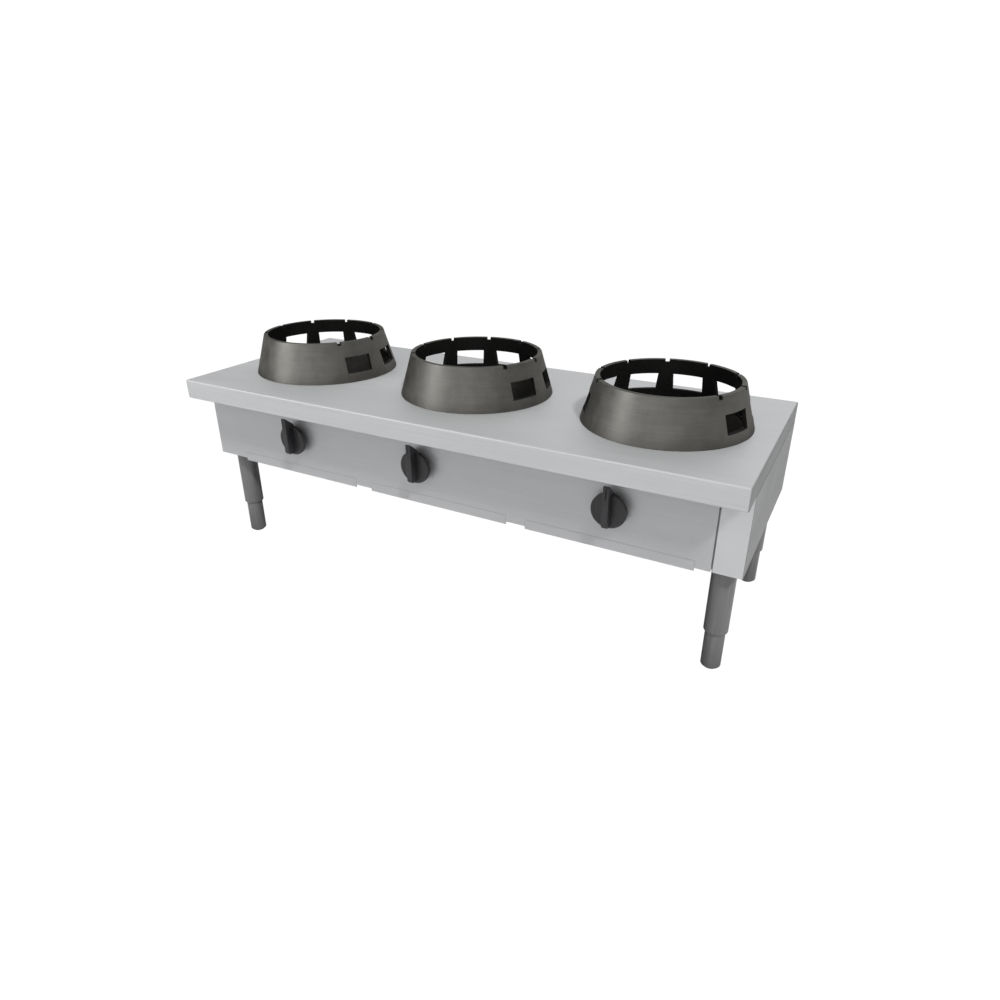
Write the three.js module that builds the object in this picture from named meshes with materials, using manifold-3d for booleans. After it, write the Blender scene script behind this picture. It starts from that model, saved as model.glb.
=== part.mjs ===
// Three-burner gas wok range: a stainless worktop on a folded sheet body with four
// adjustable legs. A wok ring stands over each burner bowl, and a drip tray slides out
// below each burner. Millimetres, +X to the right, +Y to the back, +Z up. The origin is
// on the floor, under the middle of the worktop.

import * as THREE from 'three';
import { mergeVertices } from 'three/addons/utils/BufferGeometryUtils.js';
import Module from 'manifold-3d';

const wasm = await Module();
wasm.setup();

// ---------------------------------------------------------------- driving dimensions

const touch_gap = 0.3;          // between pieces that touch
const running_gap = 0.5;        // round a piece that slides or turns in another
const overcut = 5;              // a cutting tool's reach past what it cuts

// worktop
const worktop_length = 1500;
const worktop_depth = 590;
const deck_height = 504;        // floor to the worktop's top face
const nosing_height = 50;
const nosing_return = 15;
const worktop_gauge = 2;
const edge_radius = 5;
const corner_radius = 4;

// sheet body
const panel_gauge = 1.5;
const panel_height = 188;       // from the nosing's lower edge down
const front_overhang = 80;      // nosing in front of the front panel
const back_recess = 8;          // worktop's rear face behind the back panel
const cheek_width = 62;         // front flange of the right side panel
const cheek_gap = 4;            // between the cheek and the front panel
const flange_width = 20;
const foot_flange_width = 15;
const panel_return = 9;         // fold beside the gap, on the cheek
const hem_width = 9;            // hem beside it, on the front panel
const neck_gap = 2;             // worktop's return to the panels' necks inside it

// chassis below the body
const rail_gauge = 2;
const rail_height = 22;
const rail_depth = 22;
const rail_bearing = 3.5;       // rail's end on the side member
const member_gap = 5.5;         // body's side to the side member's outer face, past the panel
const member_width = 74;
const member_gauge = 2.5;
const bar_width = 40;
const bar_height = 12;

// legs and feet
const front_plate_gap = 9;      // front panel's fold to the front leg plates
const rear_plate_gap = 2.5;     // back panel to the rear leg plates
const leg_radius = 27;
const leg_wall = 1.5;
const leg_plate_size = 60;
const leg_plate_thickness = 3;
const foot_radius = 22.5;
const foot_length = 99;         // floor to the leg's lower end
const foot_travel = 30;
const stud_radius = 8;
const stud_engagement = 8;      // stud left in its insert at full travel
const stud_chamfer = 2;
const foot_chamfer = 3;
const insert_length = 12;
const bolt_radius = 3;
const bolt_head_radius = 5;
const bolt_head_height = 4;
const bolt_inset = 7.5;         // leg plate's edge to its bolts

// wok rings and burners
const burner_end_distance = 250; // worktop's end to the nearest burner's centre
const ring_base_radius = 196;
const ring_top_radius = 166;
const ring_height = 103;
const ring_wall = 11;
const ring_pitch_deg = 36;      // one window and one rib
const end_window_shift_deg = 3; // how much further round the two end windows stand
const window_count = 7;
const window_width = 74;
const window_low = 22.5;        // window's lower and upper edge above the deck
const window_high = 64.5;
const notch_width = 10;
const notch_depth = 8;
const bowl_flange_gap = 3;      // ring's inside to the bowl's flange
const bowl_bearing = 11;        // bowl's flange on the deck
const bowl_lip = 4;             // upright edge below the bowl's flange
const bowl_wall = 2;
const bowl_lift = 20.7;         // mixing tube to the bowl's floor
const bowl_floor_radius = 90;
const bowl_drain_radius = 50;
const burner_head_radius = 60;
const burner_head_lift = 25.7;  // bowl's floor to the burner head
const burner_head_height = 42;
const burner_cap_height = 20;
const burner_wall = 6;
const burner_foot_width = 32;
const burner_foot_inset = 4;
const head_flare = 14;          // height of the cone below the burner head
const throat_radius = 30;
const throat_chamfer = 6;
const venturi_radius = 20;
const venturi_wall = 4;
const bell_radius = 26;
const bell_length = 14;
const bell_lift = 1;            // burner bar to the bell mouth
const yoke_inset = 2;           // bell's side to the injector yoke
const yoke_thickness = 4;
const yoke_height = 22;
const bell_gap = 29.55;         // gas manifold to the bell mouths
const port_count = 10;
const port_width = 7;
const port_height = 7;
const port_sill = 2;            // cap's lower edge to the ports
const cap_bevel_run = 12;
const cap_bevel_rise = 6;
const cap_roof = 8;
const spigot_depth = 4;

// gas train
const valve_lift = 38.7;        // burner bars to the knob axes and the gas manifold
const valve_offsets = [60, -42, -40]; // each knob's axis to the right of its burner
const manifold_radius = 13.45;
const manifold_wall = 2.65;
const manifold_setback = 68;    // front panel's face to the manifold's axis
const manifold_overrun = 60;    // manifold's closed end beyond the first tap
const plug_length = 15;
const plug_overlap = 3;         // plug on the manifold's end
const plug_rim = 3;             // plug's corners outside the manifold
const bracket_width = 30;
const saddle_reach = 12;        // saddle on each side of the manifold's axis
const inlet_end_distance = 138; // worktop's right end to the inlet pipe's axis
const inlet_bend_radius = 34;
const inlet_lead = 12;          // straight end of the inlet pipe before its bend
const inlet_thread_radius = 10.5;
const inlet_thread_length = 18;
const inlet_thread_recess = 1;  // worktop's rear face to the thread's end
const inlet_hexagon_rim = 4;    // hexagon's corners outside the inlet pipe
const inlet_hexagon_length = 18;
const inlet_hexagon_gap = 4;    // hexagon to the thread
const valve_width = 36;
const valve_body_height = 40;
const valve_front_gap = 10;     // front panel's face to the valve
const valve_nose_radius = 15;
const valve_nose_length = 14;
const saddle_depth = 6;         // tap's saddle against the manifold
const saddle_inset = 5;
const saddle_height = 24;
const spindle_radius = 4;
const spindle_hole_radius = 9;  // in the front panel
const spindle_engagement = 24;  // spindle inside the valve
const spindle_flat = 2.8;       // flat on the spindle, above its axis
const feed_radius = 5;
const feed_lift = 1.7;          // burner bar to the feed pipe over it
const outlet_setback = 9;       // tap's nose to its outlet below
const injector_radius = 8;
const injector_length = 20;
const injector_rim = 3;         // injector's hexagon outside the yoke's hole
const nozzle_radius = 3;
const nozzle_length = 7;
const sensor_pipe_radius = 2.5;
const sensor_drain_gap = 9;     // edge of the bowl's drain to the pilot and sensor pipes
const sensor_spread = 9;        // tap's middle to the pipes that start on its top
const sensor_setback = 14;      // tap's nose to them
const sensor_tip_radius = 4.5;
const sensor_tip_gap = 7;       // burner head to the pilot or sensor beside it
const sensor_tip_length = 14;

// knobs
const knob_clearance = 4;       // front panel to the knob, which is pushed to light
const knob_bore_depth = 14;
const hub_radius = 22;
const hub_length = 11;          // knob's rear end to its disc
const disc_radius = 41;
const disc_thickness = 9;
const disc_edge = 2;            // bevel round the disc's front face
const grip_width = 14;
const grip_height = 22;         // grip in front of the disc
const grip_seat = 8;            // depth to which the grip stands in the disc
const grip_tail_gap = 7;        // disc's edge to the grip's lower end
const grip_tail_bevel = 6;
const grip_bevel = 1.5;
const pointer_root = 4;         // disc's edge to the pointer's root, outside the disc
const pointer_reach = 28;       // disc's edge to the pointer's tip

// drip trays
const tray_end_distance = 100;  // body's end to the nearest tray
const tray_spacing = 50;        // between two trays
const tray_rear_distance = 50.5; // tray's rear wall to the back panel
const tray_height = 24;
const tray_drop = 7;            // tray's underside below the body
const tray_gauge = 1.5;
const tray_flange = 10;
const runner_gap = 2;           // tray wall to the runner's edge
const runner_top_reach = 15;    // runner's upper flange on each side of its web
const tray_stop_width = 8;
const tray_head_room = 9;       // tray to the rails over it

// ---------------------------------------------------------------- places from them

const half_length = worktop_length / 2;
const front_y = -worktop_depth / 2;
const rear_y = worktop_depth / 2;
const skirt_z = deck_height - nosing_height;
const deck_under_z = deck_height - worktop_gauge;
const body_z = skirt_z - panel_height;
const panel_y = front_y + front_overhang;
const panel_back_y = panel_y + panel_gauge;
const front_rail_y = panel_back_y + panel_gauge + touch_gap;
const back_y = rear_y - back_recess;
const back_inner_y = back_y - panel_gauge;
const panel_right = half_length - cheek_width - cheek_gap;
const cheek_left = half_length - cheek_width;

const tray_width = (worktop_length - 2 * tray_end_distance - 2 * tray_spacing) / 3;
const tray_pitch = tray_width + tray_spacing;
const tray_depth = back_inner_y - tray_rear_distance - panel_y;
const tray_z = body_z - tray_drop;
const tray_top_z = tray_z + tray_height;
const rail_z = tray_top_z + tray_head_room;
const rail_top_z = rail_z + rail_height;
const member_top_z = rail_z - touch_gap;
const member_z = body_z + panel_gauge + touch_gap;
const member_outer = half_length - panel_gauge - member_gap;
const member_inner = member_outer - member_width;
const rail_half = member_inner + rail_bearing;
const ledge_top_z = tray_top_z - tray_gauge - touch_gap;
const bar_z = rail_top_z + touch_gap;
const bar_top_z = bar_z + bar_height;

const leg_x = (member_inner + member_outer) / 2;
const leg_rows = [
  panel_y + panel_return + front_plate_gap + leg_plate_size / 2,
  back_inner_y - rear_plate_gap - leg_plate_size / 2,
];
const leg_plate_z = member_top_z - member_gauge - touch_gap - leg_plate_thickness;

const valve_height = bar_top_z + valve_lift;
const manifold_y = panel_y + manifold_setback;
const valve_front_y = panel_y + valve_front_gap;
const valve_rear_y = manifold_y - manifold_radius - touch_gap;
const valve_under_z = valve_height - valve_body_height / 2;
const valve_top_z = valve_height + valve_body_height / 2;
const bowl_flange_radius = ring_base_radius - ring_wall - bowl_flange_gap;
const deck_hole_radius = bowl_flange_radius - bowl_bearing;
const venturi_z = bar_top_z + touch_gap + bell_lift + bell_radius;
const bowl_floor_z = venturi_z + venturi_radius + bowl_lift;
const bowl_depth = deck_height + touch_gap - bowl_floor_z;
const head_low_z = bowl_floor_z + burner_head_lift;
const head_top_z = head_low_z + burner_head_height;
const head_rim_z = head_top_z - burner_cap_height;
const burner_pitch = half_length - burner_end_distance;
const burner_xs = [-burner_pitch, 0, burner_pitch];
const valve_xs = burner_xs.map((x, i) => x + valve_offsets[i]);
const bell_front = -(manifold_y + manifold_radius + bell_gap);
const inlet_x = half_length - inlet_end_distance;
const side_names = ['left', 'middle', 'right'];

// ---------------------------------------------------------------- materials

function metal(hex, roughness, metalness) {
  return new THREE.MeshStandardMaterial({ color: hex, roughness, metalness, flatShading: true });
}

const finishes = {
  stainless: () => metal(0xc4c6c8, 0.38, 0.85),
  panel: () => metal(0xb6b8ba, 0.42, 0.8),
  galvanised: () => metal(0xa3a8ab, 0.55, 0.7),
  leg: () => metal(0x76787a, 0.35, 0.9),
  ring: () => metal(0x6b6964, 0.5, 0.7),
  iron: () => metal(0x2b2a29, 0.75, 0.4),
  bowl: () => metal(0x3a3835, 0.6, 0.6),
  brass: () => metal(0xb08d4c, 0.35, 0.9),
  copper: () => metal(0xa86a45, 0.35, 0.9),
  pipe: () => metal(0x4a4b4d, 0.5, 0.7),
  knob: () => metal(0x2e2f33, 0.45, 0.0),
};

// ---------------------------------------------------------------- shape helpers

// A closed mesh as a solid that can be joined and cut, its faces turned outward.
function solid(geometry) {
  const bare = new THREE.BufferGeometry();
  bare.setAttribute('position', geometry.getAttribute('position'));
  bare.setIndex(geometry.index);
  const merged = mergeVertices(bare, 1e-4);
  const points = merged.getAttribute('position').array;
  const corners = merged.index.array;
  const kept = [];
  let volume = 0;
  for (let i = 0; i < corners.length; i += 3) {
    const [a, b, c] = [corners[i], corners[i + 1], corners[i + 2]];
    if (a === b || b === c || c === a) continue;
    kept.push([a, b, c]);
    const [p, q, r] = [a, b, c].map((k) => new THREE.Vector3().fromArray(points, 3 * k));
    volume += p.dot(q.cross(r));
  }
  const turned = volume < 0 ? kept.map(([a, b, c]) => [a, c, b]) : kept;
  return new wasm.Manifold(new wasm.Mesh({
    numProp: 3,
    vertProperties: new Float32Array(points),
    triVerts: new Uint32Array(turned.flat()),
  }));
}

function joined(...pieces) {
  return pieces.reduce((whole, piece) => whole.add(piece));
}

function cut(whole, ...tools) {
  return tools.reduce((left, tool) => left.subtract(tool), whole);
}

function block(x0, x1, y0, y1, z0, z1) {
  const box = new THREE.BoxGeometry(x1 - x0, y1 - y0, z1 - z0);
  return solid(box.translate((x0 + x1) / 2, (y0 + y1) / 2, (z0 + z1) / 2));
}

// A round bar along X, Y or Z, centred on the two other coordinates in their order.
function rod(axis, radius, from, to, u, v, sides = 24) {
  const bar = new THREE.CylinderGeometry(radius, radius, to - from, sides);
  const middle = (from + to) / 2;
  if (axis === 'x') bar.rotateZ(Math.PI / 2).translate(middle, u, v);
  if (axis === 'y') bar.translate(u, middle, v);
  if (axis === 'z') bar.rotateX(Math.PI / 2).translate(u, v, middle);
  return solid(bar);
}

// A turned piece on the Z axis from its closed outline of [radius, height] points.
function turned(outline, sides) {
  const points = [...outline, outline[0]].map(([r, z]) => new THREE.Vector2(r, z));
  return solid(new THREE.LatheGeometry(points, sides).rotateX(Math.PI / 2));
}

function outlineShape(points) {
  return new THREE.Shape(points.map(([u, v]) => new THREE.Vector2(u, v)));
}

// A folded section drawn in Y and Z, run along X.
function sectionAlongX(points, from, to) {
  const bar = new THREE.ExtrudeGeometry(outlineShape(points), { depth: to - from, bevelEnabled: false });
  const axes = new THREE.Matrix4().makeBasis(
    new THREE.Vector3(0, 1, 0), new THREE.Vector3(0, 0, 1), new THREE.Vector3(1, 0, 0));
  return solid(bar.applyMatrix4(axes).translate(from, 0, 0));
}

// A folded section drawn in X and Z, run along Y.
function sectionAlongY(points, from, to) {
  const bar = new THREE.ExtrudeGeometry(outlineShape(points), { depth: to - from, bevelEnabled: false });
  const axes = new THREE.Matrix4().makeBasis(
    new THREE.Vector3(1, 0, 0), new THREE.Vector3(0, 0, 1), new THREE.Vector3(0, -1, 0));
  return solid(bar.applyMatrix4(axes).translate(0, to, 0));
}

// A round pipe along a smooth curve through the points.
function pipe(points, radius, steps, sides) {
  const path = new THREE.CatmullRomCurve3(points.map((p) => new THREE.Vector3(...p)), false, 'centripetal');
  const section = new THREE.Shape();
  for (let i = 0; i < sides; i++) {
    const angle = (2 * Math.PI * i) / sides;
    const place = [radius * Math.cos(angle), radius * Math.sin(angle)];
    if (i === 0) section.moveTo(...place);
    else section.lineTo(...place);
  }
  section.closePath();
  return solid(new THREE.ExtrudeGeometry(section, { steps, extrudePath: path, bevelEnabled: false }));
}

// A box with rounded upright corners and a rounded top edge, as rings from low to high.
function roundedSlab(length, depth, corner, topRadius, low, high) {
  const steps = 3;
  const levels = [[0, low]];
  for (let i = 0; i <= steps; i++) {
    const angle = (Math.PI / 2) * (i / steps);
    levels.push([topRadius * (1 - Math.cos(angle)), high - topRadius * (1 - Math.sin(angle))]);
  }
  const points = [];
  for (const [inset, z] of levels) {
    const r = Math.max(corner - inset, 0.2);
    for (const [quarter, sx, sy] of [[0, 1, 1], [1, -1, 1], [2, -1, -1], [3, 1, -1]]) {
      const cx = sx * (length / 2 - inset - r);
      const cy = sy * (depth / 2 - inset - r);
      for (let i = 0; i <= steps; i++) {
        const angle = (Math.PI / 2) * (quarter + i / steps);
        points.push(cx + r * Math.cos(angle), cy + r * Math.sin(angle), z);
      }
    }
  }
  const count = 4 * (steps + 1);
  const faces = [];
  for (let level = 0; level + 1 < levels.length; level++) {
    for (let i = 0; i < count; i++) {
      const a = level * count + i;
      const b = level * count + ((i + 1) % count);
      faces.push(a, b, b + count, a, b + count, a + count);
    }
  }
  const top = (levels.length - 1) * count;
  for (let i = 1; i + 1 < count; i++) {
    faces.push(0, i + 1, i, top, top + i, top + i + 1);
  }
  const geometry = new THREE.BufferGeometry();
  geometry.setAttribute('position', new THREE.Float32BufferAttribute(points, 3));
  geometry.setIndex(faces);
  return solid(geometry);
}

function named(name, body, material, x = 0, y = 0, z = 0) {
  const { vertProperties, triVerts } = body.getMesh();
  const geometry = new THREE.BufferGeometry();
  geometry.setAttribute('position', new THREE.BufferAttribute(vertProperties, 3));
  geometry.setIndex(new THREE.BufferAttribute(triVerts, 1));
  geometry.computeVertexNormals();
  const mesh = new THREE.Mesh(geometry, material);
  mesh.name = name;
  mesh.position.set(x, y, z);
  return mesh;
}

// ---------------------------------------------------------------- worktop

// One pressed sheet with a skirt all round, folded in at its lower edge.
function worktop() {
  const outer = roundedSlab(
    worktop_length, worktop_depth, corner_radius, edge_radius, skirt_z, deck_height);
  const hollow = roundedSlab(
    worktop_length - 2 * worktop_gauge, worktop_depth - 2 * worktop_gauge,
    corner_radius - worktop_gauge, edge_radius - worktop_gauge,
    skirt_z + worktop_gauge, deck_under_z);
  const mouth = block(
    -half_length + nosing_return, half_length - nosing_return,
    front_y + nosing_return, rear_y - nosing_return,
    skirt_z - overcut, skirt_z + worktop_gauge + overcut);
  const holes = burner_xs.map(
    (x) => rod('z', deck_hole_radius, deck_under_z - overcut, deck_height + overcut, x, 0, 40));
  const length = half_length + overcut;
  const edge_waste = cut(
    block(-length, length, front_y - overcut, front_y + edge_radius,
      skirt_z - overcut, skirt_z + edge_radius),
    rod('x', edge_radius, -length - 1, length + 1, front_y + edge_radius, skirt_z + edge_radius, 16));
  return cut(outer, hollow, mouth, ...holes, edge_waste);
}

// ---------------------------------------------------------------- sheet panels

// The front panel covers the left side panel's edge and stops short of the right cheek.
function frontPanel() {
  const top_z = skirt_z - touch_gap;
  const face = block(-half_length, panel_right, panel_y, panel_back_y, body_z, top_z);
  const neck = block(
    -half_length + nosing_return + neck_gap, panel_right, panel_y, panel_back_y,
    top_z - panel_gauge, deck_under_z - touch_gap);
  const hem = block(
    panel_right - hem_width, panel_right, panel_y, panel_back_y + panel_gauge, body_z, top_z);
  const spindle_holes = valve_xs.map(
    (x) => rod('y', spindle_hole_radius, panel_y - overcut, panel_back_y + overcut, x, valve_height));
  const tray_slots = [-1, 0, 1].map((k) => block(
    k * tray_pitch - tray_width / 2 - running_gap, k * tray_pitch + tray_width / 2 + running_gap,
    panel_y - overcut, panel_back_y + overcut, body_z - overcut, tray_top_z + running_gap));
  return cut(joined(face, neck, hem), ...spindle_holes, ...tray_slots);
}

// A side panel with its folds: to the worktop, to the back and along its lower edge.
// The left one is made as a mirror image of the right one, without the cheek.
function sidePanel(front) {
  const outer = half_length;
  const inner = outer - panel_gauge;
  const top_z = skirt_z - touch_gap;
  return joined(
    block(inner, outer, front, rear_y, body_z, top_z),
    block(outer - flange_width, outer, front, rear_y, top_z - panel_gauge, top_z),
    block(outer - flange_width, outer, rear_y - panel_gauge, rear_y, body_z, top_z),
    block(outer - foot_flange_width, outer, front, rear_y, body_z, body_z + panel_gauge));
}

function rightSidePanel() {
  const top_z = skirt_z - touch_gap;
  const cheek = block(cheek_left, half_length, panel_y, panel_back_y, body_z, top_z);
  const neck = block(
    cheek_left, half_length - nosing_return - neck_gap, panel_y, panel_back_y,
    top_z - panel_gauge, deck_under_z - touch_gap);
  const fold = block(cheek_left, cheek_left + panel_gauge, panel_y, panel_y + panel_return, body_z, top_z);
  return joined(sidePanel(panel_y), cheek, neck, fold);
}

function leftSidePanel() {
  const front = panel_back_y + touch_gap;
  const fold = block(
    half_length - flange_width, half_length, front, front + panel_gauge, body_z, skirt_z - touch_gap);
  return joined(sidePanel(front), fold).mirror([1, 0, 0]);
}

function backPanel() {
  const reach = half_length - panel_gauge - touch_gap;
  const low = body_z + panel_gauge + touch_gap;
  const high = skirt_z - panel_gauge - 2 * touch_gap;
  const flange_reach = half_length - flange_width - touch_gap;
  const sheet = block(-reach, reach, back_inner_y, back_y, low, high);
  const flange = joined(
    block(-flange_reach, flange_reach, back_inner_y, back_y, high - panel_gauge, skirt_z - touch_gap),
    block(-flange_reach, flange_reach, back_y - flange_width, back_y,
      skirt_z - touch_gap - panel_gauge, skirt_z - touch_gap));
  const inlet_hole = rod(
    'y', inlet_thread_radius + running_gap, back_inner_y - overcut, back_y + overcut,
    inlet_x, valve_height);
  return cut(joined(sheet, flange), inlet_hole);
}

// ---------------------------------------------------------------- chassis

// Channel across the body, its web behind the front panel's hem or at the back panel.
function crossRail(web_y, inward) {
  const y = (d) => web_y + inward * d;
  const outline = [
    [y(0), rail_z], [y(rail_depth), rail_z], [y(rail_depth), rail_z + rail_gauge],
    [y(rail_gauge), rail_z + rail_gauge], [y(rail_gauge), rail_top_z - rail_gauge],
    [y(rail_depth), rail_top_z - rail_gauge], [y(rail_depth), rail_top_z], [y(0), rail_top_z],
  ];
  return sectionAlongX(outline, -rail_half, rail_half);
}

// Channel along each side, open below. The legs bolt up into it, and its inner edge is
// folded out as the outer tray's runner.
function sideMember() {
  const front = panel_y + panel_return + touch_gap;
  const rear = back_inner_y - touch_gap;
  const g = member_gauge;
  const ledge_inner = tray_pitch + tray_width / 2 - tray_flange + runner_gap;
  const outline = [
    [member_inner, member_z], [member_inner + g, member_z], [member_inner + g, member_top_z - g],
    [member_outer - g, member_top_z - g], [member_outer - g, member_z], [member_outer, member_z],
    [member_outer, member_top_z], [member_inner, member_top_z], [member_inner, ledge_top_z],
    [ledge_inner, ledge_top_z], [ledge_inner, ledge_top_z - rail_gauge],
    [member_inner, ledge_top_z - rail_gauge],
  ];
  const holes = leg_rows.flatMap((y) => boltOffsets().map(([dx, dy]) => rod(
    'z', bolt_radius + running_gap, member_top_z - 2 * g, member_top_z + overcut, leg_x + dx, y + dy, 8)));
  return cut(sectionAlongY(outline, front, rear), ...holes);
}

// Runner between two trays, hung below both cross rails, with a stop behind each tray.
function trayRunner() {
  const reach = tray_pitch / 2 - tray_width / 2 + tray_flange - runner_gap;
  const web = rail_gauge / 2;
  const top = rail_z - touch_gap;
  const low = ledge_top_z - rail_gauge;
  const outline = [
    [-reach, low], [reach, low], [reach, ledge_top_z], [web, ledge_top_z],
    [web, top - rail_gauge], [runner_top_reach, top - rail_gauge], [runner_top_reach, top],
    [-runner_top_reach, top], [-runner_top_reach, top - rail_gauge], [-web, top - rail_gauge],
    [-web, ledge_top_z], [-reach, ledge_top_z],
  ];
  const front = panel_back_y + touch_gap;
  const stop_y = panel_y + tray_depth + touch_gap;
  const stops = [-reach, reach - tray_stop_width].map((left) => block(
    left, left + tray_stop_width, stop_y, stop_y + rail_gauge, ledge_top_z - web, tray_top_z));
  return joined(sectionAlongY(outline, front, back_inner_y - touch_gap), ...stops);
}

// Hat channel from rail to rail that carries one burner.
function burnerBar() {
  const h = bar_width / 2;
  const outline = [
    [-h, bar_z], [-h + rail_gauge, bar_z], [-h + rail_gauge, bar_top_z - rail_gauge],
    [h - rail_gauge, bar_top_z - rail_gauge], [h - rail_gauge, bar_z], [h, bar_z],
    [h, bar_top_z], [-h, bar_top_z],
  ];
  return sectionAlongY(outline, panel_back_y + 2 * rail_gauge, back_inner_y - 2 * rail_gauge);
}

// ---------------------------------------------------------------- legs

// The four bolts round a leg's axis, as offsets from it.
function boltOffsets() {
  const reach = leg_plate_size / 2 - bolt_inset;
  return [[-reach, -reach], [reach, -reach], [reach, reach], [-reach, reach]];
}

// Tube welded to its mounting plate, with the threaded insert for the foot's stud and
// the four hexagon bolts that hold the plate up into the side member.
function legTube() {
  const half = leg_plate_size / 2;
  const head_z = member_top_z + touch_gap;
  const bolts = boltOffsets().map(([x, y]) => joined(
    rod('z', bolt_head_radius, head_z, head_z + bolt_head_height, x, y, 6),
    rod('z', bolt_radius, leg_plate_z, head_z + bolt_head_height / 2, x, y, 6)));
  const plate = joined(
    block(-half, half, -half, half, leg_plate_z, leg_plate_z + leg_plate_thickness), ...bolts);
  const tube_top = leg_plate_z + leg_plate_thickness / 2;
  const insert_top = foot_length + insert_length;
  const tube = turned([
    [leg_radius, foot_length], [leg_radius, tube_top],
    [leg_radius - leg_wall, tube_top], [leg_radius - leg_wall, insert_top],
    [stud_radius + running_gap, insert_top], [stud_radius + running_gap, foot_length],
  ], 24);
  return joined(plate, tube);
}

// Foot with its stud, screwed up until its shoulder meets the tube.
function legFoot() {
  const shoulder = foot_length - touch_gap;
  const stud_top = foot_length + insert_length + foot_travel + stud_engagement;
  return turned([
    [0, 0], [foot_radius - foot_chamfer, 0], [foot_radius, foot_chamfer], [foot_radius, shoulder],
    [stud_radius, shoulder], [stud_radius, stud_top - stud_chamfer],
    [stud_radius - stud_chamfer, stud_top], [0, stud_top],
  ], 24);
}

// ---------------------------------------------------------------- wok ring and bowl

// Cone with windows round its back and sides, and a notch in its rim over each rib.
function wokRing() {
  const shell = turned([
    [ring_base_radius, 0], [ring_top_radius, ring_height],
    [ring_top_radius - ring_wall, ring_height], [ring_base_radius - ring_wall, 0],
  ], 50);
  const near = ring_top_radius - 2 * ring_wall;
  const far = ring_base_radius + ring_wall;
  const last = (window_count - 1) / 2;
  const windows = [];
  const notches = [];
  for (let step = -last; step <= last; step++) {
    const shift = Math.abs(step) === last ? Math.sign(step) * end_window_shift_deg : 0;
    windows.push(block(near, far, -window_width / 2, window_width / 2,
      window_low, window_high).rotate([0, 0, 90 + ring_pitch_deg * step + shift]));
  }
  for (let step = -last - 0.5; step <= last + 0.5; step++) {
    notches.push(block(near, far, -notch_width / 2, notch_width / 2,
      ring_height - notch_depth, ring_height + overcut).rotate([0, 0, 90 + ring_pitch_deg * step]));
  }
  return cut(shell, ...windows, ...notches);
}

// Spill bowl that hangs in the deck opening by its flange.
function burnerBowl() {
  const hang = deck_hole_radius - 2 * running_gap;
  return turned([
    [bowl_flange_radius, bowl_depth], [bowl_flange_radius, bowl_depth + bowl_wall],
    [hang - bowl_wall, bowl_depth + bowl_wall], [bowl_floor_radius - bowl_wall, bowl_wall],
    [bowl_drain_radius, bowl_wall], [bowl_drain_radius, 0],
    [bowl_floor_radius, 0], [hang, bowl_depth - bowl_lip], [hang, bowl_depth],
  ], 30);
}

// ---------------------------------------------------------------- burner

// Casting: foot, mixing tube with its bell mouth, throat, head cup and injector yoke.
function burnerBody() {
  const foot_z = bar_top_z + touch_gap;
  const foot_half = burner_foot_width / 2;
  const foot_reach = throat_radius - burner_foot_inset;
  const tube_low = venturi_z - venturi_radius;
  const mouth_y = -bell_front;
  const neck_y = mouth_y + bell_length;
  const outer = joined(
    turned([
      [0, tube_low], [throat_radius - throat_chamfer, tube_low],
      [throat_radius, tube_low + throat_chamfer], [throat_radius, head_low_z - head_flare],
      [burner_head_radius, head_low_z], [burner_head_radius, head_rim_z], [0, head_rim_z],
    ], 20),
    rod('y', venturi_radius, neck_y, 0, 0, venturi_z, 16),
    rod('y', bell_radius, mouth_y, neck_y, 0, venturi_z, 16),
    block(-foot_half, foot_half, -foot_reach, foot_reach, foot_z, tube_low + venturi_wall));
  const w = burner_wall;
  const inner = joined(
    turned([
      [0, tube_low + w], [throat_radius - w, tube_low + w],
      [throat_radius - w, head_low_z - head_flare + w / 3],
      [burner_head_radius - w, head_low_z + w / 2],
      [burner_head_radius - w, head_rim_z + overcut], [0, head_rim_z + overcut],
    ], 20),
    rod('y', venturi_radius - venturi_wall, mouth_y - overcut, 0, 0, venturi_z, 16),
    rod('y', bell_radius - venturi_wall, mouth_y - overcut, neck_y - w, 0, venturi_z, 16));
  const yoke_half = bell_radius - yoke_inset;
  const yoke = cut(
    block(-yoke_half, yoke_half, mouth_y, mouth_y + yoke_thickness,
      venturi_z - yoke_height / 2, venturi_z + yoke_height / 2),
    rod('y', injector_radius + touch_gap, mouth_y - overcut, mouth_y + 2 * overcut, 0, venturi_z, 16));
  return joined(cut(outer, inner), yoke);
}

// Cap with flame ports round its rim and a spigot that centres it in the head cup.
function burnerCap() {
  const low = head_rim_z + touch_gap;
  const high = head_top_z;
  const spigot = burner_head_radius - burner_wall - running_gap;
  const hollow = spigot - spigot_depth;
  const cap = turned([
    [0, high], [burner_head_radius - cap_bevel_run, high], [burner_head_radius, high - cap_bevel_rise],
    [burner_head_radius, low], [spigot, low], [spigot, low - spigot_depth],
    [hollow, low - spigot_depth], [hollow, high - cap_roof], [0, high - cap_bevel_rise],
  ], 20);
  const ports = [];
  const port_low = low + port_sill;
  for (let k = 0; k < port_count; k++) {
    const port = block(hollow - overcut, burner_head_radius + overcut, -port_width / 2, port_width / 2,
      port_low, port_low + port_height);
    ports.push(port.rotate([0, 0, ((k + 0.5) * 360) / port_count]));
  }
  return cut(cap, ...ports);
}

// ---------------------------------------------------------------- gas train

function gasManifold() {
  const left = valve_xs[0] - manifold_overrun;
  const right = inlet_x - inlet_bend_radius - inlet_lead;
  const tube = cut(
    rod('x', manifold_radius, left, right, manifold_y, valve_height, 20),
    rod('x', manifold_radius - manifold_wall, left + plug_overlap, right + overcut,
      manifold_y, valve_height, 12));
  const plug = rod('x', manifold_radius + plug_rim, left + plug_overlap - plug_length,
    left + plug_overlap, manifold_y, valve_height, 6);
  return joined(tube, plug);
}

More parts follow.
